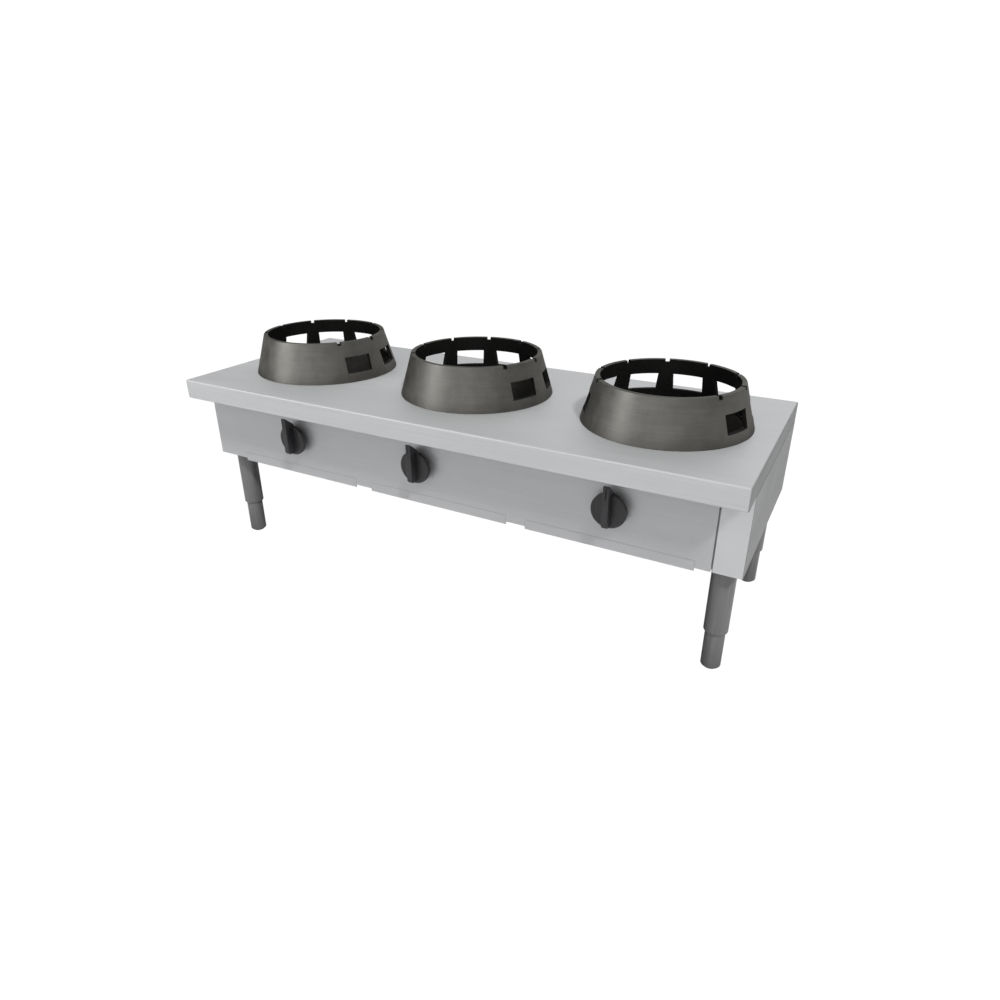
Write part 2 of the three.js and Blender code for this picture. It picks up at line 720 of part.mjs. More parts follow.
// Strap that carries the manifold on the front rail.
function manifoldBracket() {
  const g = rail_gauge;
  const low = rail_top_z + touch_gap;
  const saddle_z = valve_height - manifold_radius - touch_gap;
  const outline = [
    [front_rail_y, low], [manifold_y + g / 2, low], [manifold_y + g / 2, saddle_z - g],
    [manifold_y + saddle_reach, saddle_z - g], [manifold_y + saddle_reach, saddle_z],
    [manifold_y - saddle_reach, saddle_z], [manifold_y - saddle_reach, saddle_z - g],
    [manifold_y - g / 2, saddle_z - g],
    [manifold_y - g / 2, low + g], [front_rail_y, low + g],
  ];
  return sectionAlongX(outline, -bracket_width / 2, bracket_width / 2);
}

// Elbow and pipe from the manifold's end to the threaded inlet in the back panel.
function gasInlet() {
  const r = inlet_bend_radius;
  const x = inlet_x;
  const points = [[x - r - inlet_lead + touch_gap, manifold_y, valve_height]];
  for (let i = 0; i <= 4; i++) {
    const angle = (Math.PI / 2) * (i / 4);
    points.push([x - r + r * Math.sin(angle), manifold_y + r * (1 - Math.cos(angle)), valve_height]);
  }
  const thread_y = rear_y - inlet_thread_length;
  points.push([x, manifold_y + 2 * r, valve_height], [x, thread_y, valve_height]);
  const hexagon_y = thread_y - inlet_hexagon_gap;
  return joined(
    pipe(points, manifold_radius, 18, 12),
    rod('y', manifold_radius + inlet_hexagon_rim, hexagon_y - inlet_hexagon_length, hexagon_y,
      x, valve_height, 6),
    rod('y', inlet_thread_radius, hexagon_y, rear_y - inlet_thread_recess, x, valve_height, 16));
}

// Tap body: nose, square block, saddle against the manifold, outlet boss below.
function gasValve() {
  const half = valve_width / 2;
  const nose_end = valve_front_y + valve_nose_length;
  const block_end = valve_rear_y - saddle_depth;
  const saddle_half = half - saddle_inset;
  const body = joined(
    rod('y', valve_nose_radius, valve_front_y, nose_end + touch_gap, 0, valve_height, 16),
    block(-half, half, nose_end, block_end, valve_under_z, valve_top_z),
    block(-saddle_half, saddle_half, block_end - touch_gap, valve_rear_y,
      valve_height - saddle_height / 2, valve_height + saddle_height / 2));
  const bore = rod('y', spindle_radius + running_gap,
    valve_front_y - overcut, valve_front_y + spindle_engagement + overcut, 0, valve_height, 16);
  return cut(body, bore);
}

const spindle_front_y = panel_y - knob_clearance - knob_bore_depth + 2 * running_gap;

// Spindle with its flat, from inside the tap into the knob.
function valveSpindle() {
  const shaft = rod('y', spindle_radius, spindle_front_y, valve_front_y + spindle_engagement,
    0, valve_height, 16);
  const flat = block(-overcut, overcut, spindle_front_y - overcut, panel_y - knob_clearance,
    valve_height + spindle_flat, valve_height + overcut);
  return cut(shaft, flat);
}

// Feed pipe from the tap's outlet, under the manifold, to the injector in the yoke.
function gasFeed(valve_x, burner_x) {
  const outlet_y = valve_front_y + valve_nose_length + outlet_setback;
  const low = bar_top_z + feed_radius + feed_lift;
  const nozzle_y = -bell_front - touch_gap - injector_length;
  const nozzle_start = -bell_front + 2 * yoke_thickness;
  const middle_x = (valve_x + burner_x) / 2;
  const points = [
    [valve_x, outlet_y, valve_under_z - touch_gap], [valve_x, outlet_y, low + 6],
    [valve_x, outlet_y + 7, low], [middle_x, manifold_y - 2, low],
    [burner_x, nozzle_y - 12, low + 2], [burner_x, nozzle_y - 3, low + 8],
    [burner_x, nozzle_y - 1, venturi_z - 5], [burner_x, nozzle_y + 4, venturi_z],
    [burner_x, nozzle_y + 10, venturi_z],
  ];
  const injector = joined(
    rod('y', injector_radius + injector_rim, nozzle_y + 6, -bell_front - touch_gap,
      burner_x, venturi_z, 6),
    rod('y', injector_radius, -bell_front - 3, nozzle_start, burner_x, venturi_z, 12),
    rod('y', nozzle_radius, nozzle_start - 1, nozzle_start + nozzle_length, burner_x, venturi_z, 8));
  return joined(pipe(points, feed_radius, 18, 8), injector);
}

// Thin line from the tap's top, over the manifold and up through the bowl's drain to
// the flame: side -1 is the pilot, side 1 the flame sensor.
function sensorLine(valve_x, burner_x, side) {
  const x0 = valve_x + side * sensor_spread;
  const tap_y = valve_front_y + valve_nose_length + sensor_setback;
  const over_z = valve_top_z + 12;
  const under_bowl_z = bowl_floor_z - sensor_pipe_radius - 5;
  const tip = (burner_head_radius + sensor_tip_gap + sensor_tip_radius) * Math.SQRT1_2;
  const drain = (bowl_drain_radius - sensor_drain_gap) * Math.SQRT1_2;
  const place = (reach, z) => [burner_x + side * reach, -reach, z];
  const points = [
    [x0, tap_y, valve_top_z + touch_gap], [x0, tap_y, valve_top_z + 7], [x0, tap_y + 8, over_z],
    [x0, tap_y + 24, over_z],
    [burner_x + side * drain, -bell_front - 8, under_bowl_z + 2],
    [burner_x + side * drain, -drain - 18, under_bowl_z],
    place(drain, bowl_floor_z - 2), place(drain + 7, bowl_floor_z + 7),
    place(tip - 5, bowl_floor_z + 13), place(tip, head_low_z + 4), place(tip, head_low_z + 26),
  ];
  const tip_low = head_low_z + 24;
  const head = rod('z', sensor_tip_radius, tip_low, tip_low + sensor_tip_length,
    burner_x + side * tip, -tip, 8);
  return joined(pipe(points, sensor_pipe_radius, 20, 6), head);
}

// ---------------------------------------------------------------- knob

// Thin disc on a hub, with a straight grip across it. The grip's upper end is the
// pointer, a wedge that overhangs the disc's edge.
function knob() {
  const back = -knob_clearance;
  const disc_back = back - hub_length;
  const face = disc_back - disc_thickness;
  const disc = solid(new THREE.LatheGeometry([
    [0, back], [hub_radius, back], [hub_radius, disc_back], [disc_radius, disc_back],
    [disc_radius, face + disc_edge], [disc_radius - disc_edge, face], [0, face],
  ].map(([r, y]) => new THREE.Vector2(r, y)), 40));
  const seat = -face - grip_seat;
  const front = -face + grip_height;
  const tail = -disc_radius + grip_tail_gap;
  const side_view = outlineShape([
    [seat, tail], [front - grip_tail_bevel, tail], [front, tail + grip_tail_bevel],
    [front, disc_radius + pointer_reach], [seat, disc_radius + pointer_root],
  ]);
  const bar = new THREE.ExtrudeGeometry(side_view, {
    depth: grip_width - 2 * grip_bevel,
    bevelThickness: grip_bevel, bevelSize: grip_bevel, bevelOffset: -grip_bevel, bevelSegments: 1,
  });
  bar.applyMatrix4(new THREE.Matrix4().makeBasis(
    new THREE.Vector3(0, -1, 0), new THREE.Vector3(0, 0, 1), new THREE.Vector3(-1, 0, 0)));
  bar.translate(grip_width / 2 - grip_bevel, 0, 0);
  const bore = rod('y', spindle_radius + running_gap, back - knob_bore_depth, back + overcut, 0, 0, 16);
  return cut(joined(disc, solid(bar)), bore);
}

// ---------------------------------------------------------------- drip tray

// Shallow pan that hangs on its runners by a flange along each side.
function dripTray() {
  const g = tray_gauge;
  const half = tray_width / 2;
  const wall = half - tray_flange;
  const rear = panel_y + tray_depth;
  const pan = cut(
    block(-wall, wall, panel_y, rear, tray_z, tray_top_z),
    block(-wall + g, wall - g, panel_y + g, rear - g, tray_z + g, tray_top_z + overcut));
  const front = block(-half, half, panel_y, panel_y + g, tray_z, tray_top_z);
  const flanges = [-1, 1].map((side) => block(
    Math.min(side * half, side * (wall - g)), Math.max(side * half, side * (wall - g)),
    panel_y, rear, tray_top_z - g, tray_top_z));
  return joined(pan, front, ...flanges);
}

// ---------------------------------------------------------------- assembly

const range = new THREE.Group();

range.add(
  named('worktop', worktop(), finishes.stainless()),
  named('front_panel', frontPanel(), finishes.panel()),
  named('side_panel_right', rightSidePanel(), finishes.panel()),
  named('side_panel_left', leftSidePanel(), finishes.panel()),
  named('back_panel', backPanel(), finishes.panel()),
  named('front_rail', crossRail(front_rail_y, 1), finishes.galvanised()),
  named('rear_rail', crossRail(back_inner_y - touch_gap, -1), finishes.galvanised()),
  named('side_member_right', sideMember(), finishes.galvanised()),
  named('side_member_left', sideMember().mirror([1, 0, 0]), finishes.galvanised()),
  named('gas_manifold', gasManifold(), finishes.pipe()),
  named('gas_inlet', gasInlet(), finishes.pipe()),
);

for (const side of [-1, 1]) {
  const end = side < 0 ? 'left' : 'right';
  range.add(
    named(`tray_runner_${end}`, trayRunner(), finishes.galvanised(), (side * tray_pitch) / 2),
    named(`manifold_bracket_${end}`, manifoldBracket(), finishes.galvanised(), (side * burner_pitch) / 2));
}

for (const [row, y] of leg_rows.entries()) {
  for (const side of [-1, 1]) {
    const corner = `${row === 0 ? 'front' : 'rear'}_${side < 0 ? 'left' : 'right'}`;
    range.add(
      named(`leg_${corner}`, legTube(), finishes.leg(), side * leg_x, y),
      named(`foot_${corner}`, legFoot(), finishes.leg(), side * leg_x, y));
  }
}

for (const [i, x] of burner_xs.entries()) {
  const side = side_names[i];
  const valve_x = valve_xs[i];
  range.add(
    named(`wok_ring_${side}`, wokRing(), finishes.ring(), x, 0, deck_height + touch_gap),
    named(`burner_bowl_${side}`, burnerBowl(), finishes.bowl(), x, 0, bowl_floor_z),
    named(`burner_body_${side}`, burnerBody(), finishes.iron(), x),
    named(`burner_cap_${side}`, burnerCap(), finishes.iron(), x),
    named(`burner_bar_${side}`, burnerBar(), finishes.galvanised(), x),
    named(`gas_valve_${side}`, gasValve(), finishes.brass(), valve_x),
    named(`valve_spindle_${side}`, valveSpindle(), finishes.brass(), valve_x),
    named(`knob_${side}`, knob(), finishes.knob(), valve_x, panel_y, valve_height),
    named(`gas_feed_${side}`, gasFeed(valve_x, x), finishes.copper()),
    named(`pilot_${side}`, sensorLine(valve_x, x, -1), finishes.copper()),
    named(`flame_sensor_${side}`, sensorLine(valve_x, x, 1), finishes.copper()),
    named(`drip_tray_${side}`, dripTray(), finishes.stainless(), (i - 1) * tray_pitch));
}

export default range;
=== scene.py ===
"""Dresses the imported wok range: smooth detailed pieces, procedural materials, camera and light."""

import math

import bpy
import bmesh
from mathutils import Matrix, Vector


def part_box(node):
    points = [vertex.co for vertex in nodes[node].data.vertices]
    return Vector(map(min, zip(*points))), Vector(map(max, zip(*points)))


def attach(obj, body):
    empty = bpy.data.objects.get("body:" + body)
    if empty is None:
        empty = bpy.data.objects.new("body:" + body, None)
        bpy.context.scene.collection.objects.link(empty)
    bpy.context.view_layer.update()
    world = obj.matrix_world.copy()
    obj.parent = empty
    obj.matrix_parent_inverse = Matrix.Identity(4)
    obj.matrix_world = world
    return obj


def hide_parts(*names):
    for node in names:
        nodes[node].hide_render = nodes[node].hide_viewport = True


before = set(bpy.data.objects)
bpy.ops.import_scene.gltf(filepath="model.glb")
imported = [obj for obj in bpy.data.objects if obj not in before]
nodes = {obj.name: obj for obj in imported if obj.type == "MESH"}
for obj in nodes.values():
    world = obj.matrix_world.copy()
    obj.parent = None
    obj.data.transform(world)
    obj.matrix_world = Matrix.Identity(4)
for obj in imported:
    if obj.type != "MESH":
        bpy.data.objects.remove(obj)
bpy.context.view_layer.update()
scene = bpy.context.scene
MM = 0.001
SIDES = ("left", "middle", "right")
CORNERS = ("front_left", "front_right", "rear_left", "rear_right")

# ------------------------ materials

WHITE = (1.0, 1.0, 1.0)
WHOLE = (0.0, 1.0)      # a ramp or a span over all of its input
LINE_DEPTH = 0.0003     # metres, for brushed, drawn and turned lines


def map_range(tree, value, source, target):
    """A number that goes from the target's first value to its last over the source's range."""
    mapped = tree.nodes.new("ShaderNodeMapRange")
    for side, ends in (("From", source), ("To", target)):
        for end, number in zip(("Min", "Max"), ends):
            mapped.inputs[f"{side} {end}"].default_value = number
    tree.links.new(value, mapped.inputs["Value"])
    return mapped.outputs["Result"]


class Shader:
    """One procedural material, built node by node in front of its Principled shader."""

    def __init__(self, name, color, roughness, metallic=0.0):
        self.material = bpy.data.materials.new(name)
        self.material.use_nodes = True
        self.material.diffuse_color = (*color, 1)
        self.tree = self.material.node_tree
        self.shader = self.tree.nodes["Principled BSDF"]
        self.fix("Base Color", (*color, 1))
        self.fix("Roughness", roughness)
        self.fix("Metallic", metallic)
        self.place = self.node("ShaderNodeTexCoord").outputs["Object"]

    def fix(self, socket, value):
        """Sets a value that is the same all over the surface."""
        self.shader.inputs[socket].default_value = value

    def node(self, kind, **settings):
        made = self.tree.nodes.new(kind)
        for key, value in settings.items():
            setattr(made, key, value)
        return made

    def link(self, source, target):
        self.tree.links.new(source, target)

    def feed(self, value, target):
        """Links a socket to the target, or sets a plain number or colour there."""
        if isinstance(value, bpy.types.NodeSocket):
            self.link(value, target)
        else:
            target.default_value = (*value, 1) if isinstance(value, tuple) else value

    def axis(self, name):
        """The surface's place along one axis, in metres."""
        split = self.node("ShaderNodeSeparateXYZ")
        self.link(self.place, split.inputs["Vector"])
        return split.outputs[name]

    def noise(self, scale, detail, roughness=0.5, stretch=(1, 1, 1)):
        """Noise from 0 to 1, which is finer along an axis with a larger stretch."""
        mapping = self.node("ShaderNodeMapping")
        mapping.inputs["Scale"].default_value = stretch
        self.link(self.place, mapping.inputs["Vector"])
        texture = self.node("ShaderNodeTexNoise")
        texture.inputs["Scale"].default_value = scale
        texture.inputs["Detail"].default_value = detail
        texture.inputs["Roughness"].default_value = roughness
        self.link(mapping.outputs["Vector"], texture.inputs["Vector"])
        return texture.outputs["Fac"]

    def ramp(self, value, low, high, at=(0.35, 0.65)):
        """A colour that goes from low to high as the value passes the two places."""
        ramp = self.node("ShaderNodeValToRGB")
        first, last = ramp.color_ramp.elements
        first.position, last.position = at
        first.color, last.color = (*low, 1), (*high, 1)
        self.link(value, ramp.inputs["Fac"])
        return ramp.outputs["Color"]

    def span(self, value, low, high, source=(0.3, 0.7)):
        """A number that goes from low to high as the value passes the source's two ends."""
        return map_range(self.tree, value, source, (low, high))

    def mix(self, fac, a, b, blend="MIX"):
        """A mix of two colours."""
        mixed = self.node("ShaderNodeMix", data_type="RGBA", blend_type=blend)
        color_a, color_b, color_result = mixed.inputs[6], mixed.inputs[7], mixed.outputs[2]
        self.feed(fac, mixed.inputs["Factor"])
        self.feed(a, color_a)
        self.feed(b, color_b)
        return color_result

    def math(self, operation, a, b=0.0):
        made = self.node("ShaderNodeMath", operation=operation)
        self.feed(a, made.inputs[0])
        self.feed(b, made.inputs[1])
        return made.outputs["Value"]

    def painted_end_shade(self, source, x, factor):
        """The colour, darker on the faces at the range's two ends as painted shade: x says where, in
        metres.
        """
        far = self.span(self.math("ABSOLUTE", self.axis("X")), *WHOLE, x)
        return self.mix(1.0, source, self.ramp(far, WHITE, (factor,) * 3, WHOLE), "MULTIPLY")

    def color(self, source):
        self.link(source, self.shader.inputs["Base Color"])

    def rough(self, source):
        self.link(source, self.shader.inputs["Roughness"])

    def bump(self, height, strength, distance):
        """Relief from the height, on top of the relief that is there already."""
        bump = self.node("ShaderNodeBump")
        bump.inputs["Strength"].default_value = strength
        bump.inputs["Distance"].default_value = distance
        self.link(height, bump.inputs["Height"])
        normal = self.shader.inputs["Normal"]
        if normal.is_linked:
            self.link(normal.links[0].from_socket, bump.inputs["Normal"])
        self.link(bump.outputs["Normal"], normal)


def tone(color, factor):
    return tuple(min(1.0, c * factor) for c in color)


def brushed(name, color, along, roughness=0.42, contrast=0.05, ends=None):
    """Satin sheet steel, brushed along one axis, with faint wipe marks, and painted shade on the
    range's end faces where ends are given.
    """
    s = Shader(name, color, roughness, 0.55)
    lines = s.noise(1.0, 4.0, 0.62, tuple(5.0 if a == along else 700.0 for a in "xyz"))
    broad = s.noise(2.4, 3.0, 0.55, tuple(1.0 if a == along else 2.6 for a in "xyz"))
    base = s.ramp(lines, tone(color, 1 - contrast), tone(color, 1 + contrast))
    wiped = s.ramp(broad, (0.93, 0.935, 0.94), WHITE, (0.3, 0.7))
    steel = s.mix(1.0, base, wiped, "MULTIPLY")
    # ends: painted shade, a darker colour on the faces at the range's two ends
    s.color(s.painted_end_shade(steel, *ends) if ends else steel)
    s.rough(s.math("ADD", s.span(lines, roughness - 0.05, roughness + 0.05),
                   s.span(broad, -0.05, 0.05)))
    s.bump(lines, 0.10, LINE_DEPTH)
    s.fix("Anisotropic", 0.35)
    s.fix("Specular IOR Level", 0.2)
    return s.material


def galvanised_sheet():
    """Zinc spangle: small flakes, each with its own grey and gloss."""
    color = (0.40, 0.42, 0.43)
    s = Shader("galvanised_sheet", color, 0.5, 0.75)
    flakes = s.node("ShaderNodeTexVoronoi")
    flakes.inputs["Scale"].default_value = 95.0
    s.link(s.place, flakes.inputs["Vector"])
    grey = s.node("ShaderNodeSeparateColor")
    s.link(flakes.outputs["Color"], grey.inputs["Color"])
    s.color(s.ramp(grey.outputs["Red"], tone(color, 0.82), tone(color, 1.14), WHOLE))
    s.rough(s.span(grey.outputs["Green"], 0.38, 0.6, WHOLE))
    s.bump(s.noise(160.0, 4.0), 0.12, 0.0004)
    return s.material


def leg_tube_steel():
    """Dark drawn tube with a few lighter scuffs."""
    color = (0.152, 0.152, 0.155)
    s = Shader("leg_tube_steel", color, 0.36, 0.3)
    drawn = s.noise(1.0, 3.0, 0.55, (520.0, 520.0, 6.0))
    scuffs = s.noise(38.0, 5.0, 0.6, (1.0, 1.0, 2.5))
    low = s.ramp(drawn, tone(color, 0.86), tone(color, 1.12))
    s.color(s.mix(s.span(scuffs, 0.0, 0.35, (0.55, 0.75)), low, (0.20, 0.20, 0.20)))
    s.rough(s.math("ADD", s.span(drawn, 0.30, 0.40), s.span(scuffs, 0.0, 0.14, (0.5, 0.75))))
    s.bump(drawn, 0.08, LINE_DEPTH)
    return s.material


def ring_outside():
    """Turned gunmetal: faint turning lines, painted shade low down at the foot, a little brown from
    heat.
    """
    color, heated = (0.168, 0.165, 0.154), (0.168, 0.157, 0.138)
    s = Shader("ring_gunmetal", color, 0.40, 0.78)
    turned = s.noise(1.0, 3.0, 0.6, (9.0, 9.0, 900.0))
    mottled = s.noise(26.0, 5.0, 0.62)
    heat = s.noise(5.5, 2.0, 0.5, (1.0, 1.0, 0.4))
    steel = s.ramp(turned, tone(color, 0.92), tone(color, 1.08))
    aged = s.mix(s.span(heat, 0.0, 0.4, (0.45, 0.8)), steel, heated)
    marks = s.ramp(mottled, (0.86, 0.86, 0.86), WHITE, (0.35, 0.6))
    # foot: painted shade, about a quarter darker where the ring stands on the deck, fading out 27 mm
    # up
    foot = s.ramp(s.span(s.axis("Z"), *WHOLE, (0.503, 0.53)), (0.76, 0.75, 0.74), WHITE, WHOLE)
    s.color(s.mix(1.0, s.mix(1.0, aged, marks, "MULTIPLY"), foot, "MULTIPLY"))
    s.rough(s.math("ADD", s.span(turned, 0.34, 0.42), s.span(mottled, -0.05, 0.06)))
    s.bump(turned, 0.10, LINE_DEPTH)
    s.bump(mottled, 0.10, 0.0006)
    s.fix("Anisotropic", 0.5)
    s.fix("Specular IOR Level", 0.2)
    s.fix("Specular Tint", (0.35, 0.35, 0.35, 1))     # so the pale deck doesn't flare at the foot
    return s.material


def soot(name, color, roughness):
    """Matt black soot, fine and in broad drifts."""
    s = Shader(name, color, roughness)
    fine = s.noise(210.0, 6.0, 0.65)
    broad = s.noise(14.0, 4.0, 0.6)
    grains = s.ramp(fine, tone(color, 0.7), tone(color, 1.5))
    s.color(s.mix(s.span(broad, 0.0, 0.7, (0.4, 0.75)), grains, tone(color, 2.1)))
    s.rough(s.span(fine, roughness - 0.1, roughness + 0.1))
    s.bump(fine, 0.35, 0.0006)
    s.bump(broad, 0.15, 0.0015)
    s.fix("Specular IOR Level", 0.1)
    return s.material


def bowl_steel():
    """Spill bowl: pressed steel blackened by the flame, darkest low down, with burnt oil."""
    color = (0.020, 0.018, 0.016)
    s = Shader("bowl_steel", color, 0.42, 0.5)
    drawn = s.noise(1.0, 3.0, 0.6, (11.0, 11.0, 260.0))
    stains = s.noise(30.0, 6.0, 0.68)
    deep = s.ramp(s.span(s.axis("Z"), *WHOLE, (0.395, 0.505)),
                  (0.013, 0.012, 0.014), color, (0.1, 0.95))
    burnt = s.mix(s.span(stains, 0.0, 0.85, (0.5, 0.68)), deep, (0.012, 0.010, 0.008))
    s.color(s.mix(0.5, burnt, s.ramp(drawn, (0.7, 0.7, 0.7), WHITE), "MULTIPLY"))
    s.rough(s.span(stains, 0.34, 0.72))
    s.bump(stains, 0.16, 0.0007)
    s.fix("Specular IOR Level", 0.2)
    return s.material


def cast_iron():
    """Sand-cast iron with rust in patches."""
    color = (0.032, 0.031, 0.030)
    s = Shader("burner_casting", color, 0.72, 0.35)
    sand = s.noise(420.0, 5.0, 0.7)
    rust = s.noise(34.0, 5.0, 0.62)
    skin = s.ramp(sand, tone(color, 0.7), tone(color, 1.5))
    s.color(s.mix(s.span(rust, 0.0, 0.5, (0.55, 0.78)), skin, (0.085, 0.046, 0.026)))
    s.rough(s.span(sand, 0.6, 0.85))
    s.bump(sand, 0.5, 0.0007)
    return s.material


def plain_metal(name, color, roughness, metallic, tarnish):
    """A small fitting's finish: fine grain, and tarnish in patches."""
    s = Shader(name, color, roughness, metallic)
    patches = s.noise(60.0, 4.0, 0.6)
    fine = s.noise(600.0, 2.0)
    grain = s.ramp(fine, tone(color, 0.9), tone(color, 1.08))
    s.color(s.mix(s.span(patches, 0.0, 0.75, (0.45, 0.75)), grain, tarnish))
    s.rough(s.math("ADD", s.span(patches, roughness - 0.06, roughness + 0.14),
                   s.span(fine, -0.02, 0.02)))
    s.bump(fine, 0.08, LINE_DEPTH)
    return s.material


def moulded_plastic():
    """Dark moulded plastic with a fine grain, rubbed smoother and lighter in places."""
    color = (0.018, 0.018, 0.020)
    s = Shader("knob_plastic", color, 0.42)
    grain = s.noise(900.0, 3.0, 0.6)
    rubbed = s.noise(48.0, 4.0, 0.6)
    skin = s.ramp(grain, tone(color, 0.85), tone(color, 1.15))
    s.color(s.mix(s.span(rubbed, 0.0, 0.5, (0.5, 0.75)), skin, (0.028, 0.028, 0.030)))
    s.rough(s.math("ADD", s.span(grain, 0.40, 0.48), s.span(rubbed, -0.08, 0.05)))
    s.bump(grain, 0.10, 0.0002)
    return s.material


PANEL_STEEL = (0.472, 0.476, 0.485)
# ends paints shade on the worktop's end faces and on the side panels' outer faces, at both ends of
# the range
TOP = brushed("worktop_steel", (0.562, 0.568, 0.574), "x", roughness=0.55,
              ends=((0.7462, 0.7494), 0.42))
PANEL = brushed("panel_steel", PANEL_STEEL, "x", contrast=0.04)
SIDE = brushed("side_steel", (0.58, 0.585, 0.595), "y", contrast=0.04,
               ends=((0.7488, 0.7496), 0.38))
TRAY = brushed("tray_steel", PANEL_STEEL, "x", contrast=0.04)
ZINC = galvanised_sheet()
LEG = leg_tube_steel()
RING = ring_outside()
SOOT = soot("ring_soot", (0.0085, 0.0082, 0.0078), 0.8)
BOWL = bowl_steel()
IRON = cast_iron()
BRASS = plain_metal("tap_brass", (0.52, 0.37, 0.14), 0.32, 0.9, (0.30, 0.19, 0.08))
COPPER = plain_metal("drawn_copper", (0.45, 0.20, 0.11), 0.32, 0.9, (0.20, 0.10, 0.07))
PIPE = plain_metal("black_pipe", (0.060, 0.060, 0.064), 0.45, 0.5, (0.035, 0.033, 0.032))
BOLT = plain_metal("zinc_bolt", (0.50, 0.51, 0.50), 0.36, 0.85, (0.36, 0.36, 0.33))
CERAMIC = plain_metal("sensor_ceramic", (0.62, 0.58, 0.50), 0.55, 0.0, (0.42, 0.38, 0.32))
KNOB = moulded_plastic()
MARK = plain_metal("knob_mark", (0.11, 0.11, 0.115), 0.5, 0.0, (0.08, 0.08, 0.085))

# ------------------------ mesh building


def quarter(steps):
    """The angles of a quarter turn, from 0 to 90 degrees."""
    return [math.pi / 2 * k / steps for k in range(steps + 1)]


def circle(sides):
    """The angles of that many points round a circle."""
    return [2 * math.pi * i / sides for i in range(sides)]


def rectangle(x0, x1, y0, y1):
    return [(x0, y0), (x1, y0), (x1, y1), (x0, y1)]


def band(row, count):
    """The faces between one row of points round a form and the next."""
    a, b = row * count, (row + 1) * count
    return [(a + i, a + (i + 1) % count, b + (i + 1) % count, b + i) for i in range(count)]


def rounded(points, radius, steps):
    """The closed outline with its corners rounded, none by more than its sides allow."""
    out = []
    count = len(points)
    for i in range(count):
        before, here, after = (Vector(points[(i + k) % count]) for k in (-1, 0, 1))
        a, b = (before - here), (after - here)
        la, lb = a.length, b.length
        a, b = a / la, b / lb
        half = a.angle(b) / 2
        cut = min(radius / math.tan(half), la * 0.48, lb * 0.48)
        r = cut * math.tan(half)
        centre = here + (a + b).normalized() * (r / math.sin(half))
        start, end = here + a * cut - centre, here + b * cut - centre
        sweep = start.angle(end)
        sign = 1 if start.x * end.y - start.y * end.x > 0 else -1
        for k in range(steps + 1):
            t = sign * sweep * k / steps
            c, s = math.cos(t), math.sin(t)
            out.append(centre + Vector((start.x * c - start.y * s, start.x * s + start.y * c)))
    return out


def inset(points, distance):
    """The closed outline moved inward, which is to its left where it runs anticlockwise."""
    out = []
    count = len(points)
    for i in range(count):
        before, here, after = (Vector(points[(i + k) % count]) for k in (-1, 0, 1))
        a, b = (here - before).normalized(), (after - here).normalized()
        na, nb = Vector((-a.y, a.x)), Vector((-b.y, b.x))
        n = na + nb
        n = n / max(n.length_squared / 2, 1e-6) if n.length > 1e-6 else na
        out.append(here + n * distance)
    return out


def fillet(start, corner, end, radius):
    """Points of one rounded corner of a [radius, height] profile."""
    steps = 5
    s, c, e = (Vector(p) for p in (start, corner, end))
    a, b = (s - c).normalized(), (e - c).normalized()
    half = a.angle(b) / 2
    cut = radius / math.tan(half)
    p, q = c + a * cut, c + b * cut
    out = []
    for k in range(steps + 1):
        t = k / steps
        out.append(tuple(p * (1 - t) ** 2 + c * 2 * t * (1 - t) + q * t ** 2))
    return out


def profile(points, radii):
    """The open or closed profile with the corners that have a radius rounded."""
    out = []
    for i, (point, radius) in enumerate(zip(points, radii)):
        if radius:
            out += fillet(points[i - 1], point, points[(i + 1) % len(points)], radius)
        else:
            out.append(point)
    return out


def curve_through(points):
    """A smooth path through the points: a centripetal Catmull-Rom spline."""
    steps = 6
    p = [Vector(points[0]) * 2 - Vector(points[1]), *map(Vector, points),
         Vector(points[-1]) * 2 - Vector(points[-2])]
    out = []
    for i in range(1, len(p) - 2):
        p0, p1, p2, p3 = p[i - 1:i + 3]
        t = [0.0]
        for a, b in ((p0, p1), (p1, p2), (p2, p3)):
            t.append(t[-1] + max((b - a).length, 1e-6) ** 0.5)
        for k in range(steps):
            u = t[1] + (t[2] - t[1]) * k / steps
            a1 = p0 * ((t[1] - u) / (t[1] - t[0])) + p1 * ((u - t[0]) / (t[1] - t[0]))
            a2 = p1 * ((t[2] - u) / (t[2] - t[1])) + p2 * ((u - t[1]) / (t[2] - t[1]))
            a3 = p2 * ((t[3] - u) / (t[3] - t[2])) + p3 * ((u - t[2]) / (t[3] - t[2]))
            b1 = a1 * ((t[2] - u) / (t[2] - t[0])) + a2 * ((u - t[0]) / (t[2] - t[0]))
            b2 = a2 * ((t[3] - u) / (t[3] - t[1])) + a3 * ((u - t[1]) / (t[3] - t[1]))
            out.append(b1 * ((t[2] - u) / (t[2] - t[1])) + b2 * ((u - t[1]) / (t[2] - t[1])))
    out.append(p[-2])
    return out


ORIGIN = (0, 0, 0)
UP = Matrix.Identity(3)
FORWARD = Matrix(((1, 0, 0), (0, 0, -1), (0, 1, 0)))    # turned pieces that point to -Y
BACK = Matrix(((1, 0, 0), (0, 0, 1), (0, -1, 0)))       # turned pieces that point to +Y
ALONG_X = Matrix(((0, 0, 1), (0, 1, 0), (-1, 0, 0)))    # turned pieces that point to +X
SIDEWAYS = Matrix(((0, 0, -1), (-1, 0, 0), (0, 1, 0)))  # side views with their front at +X


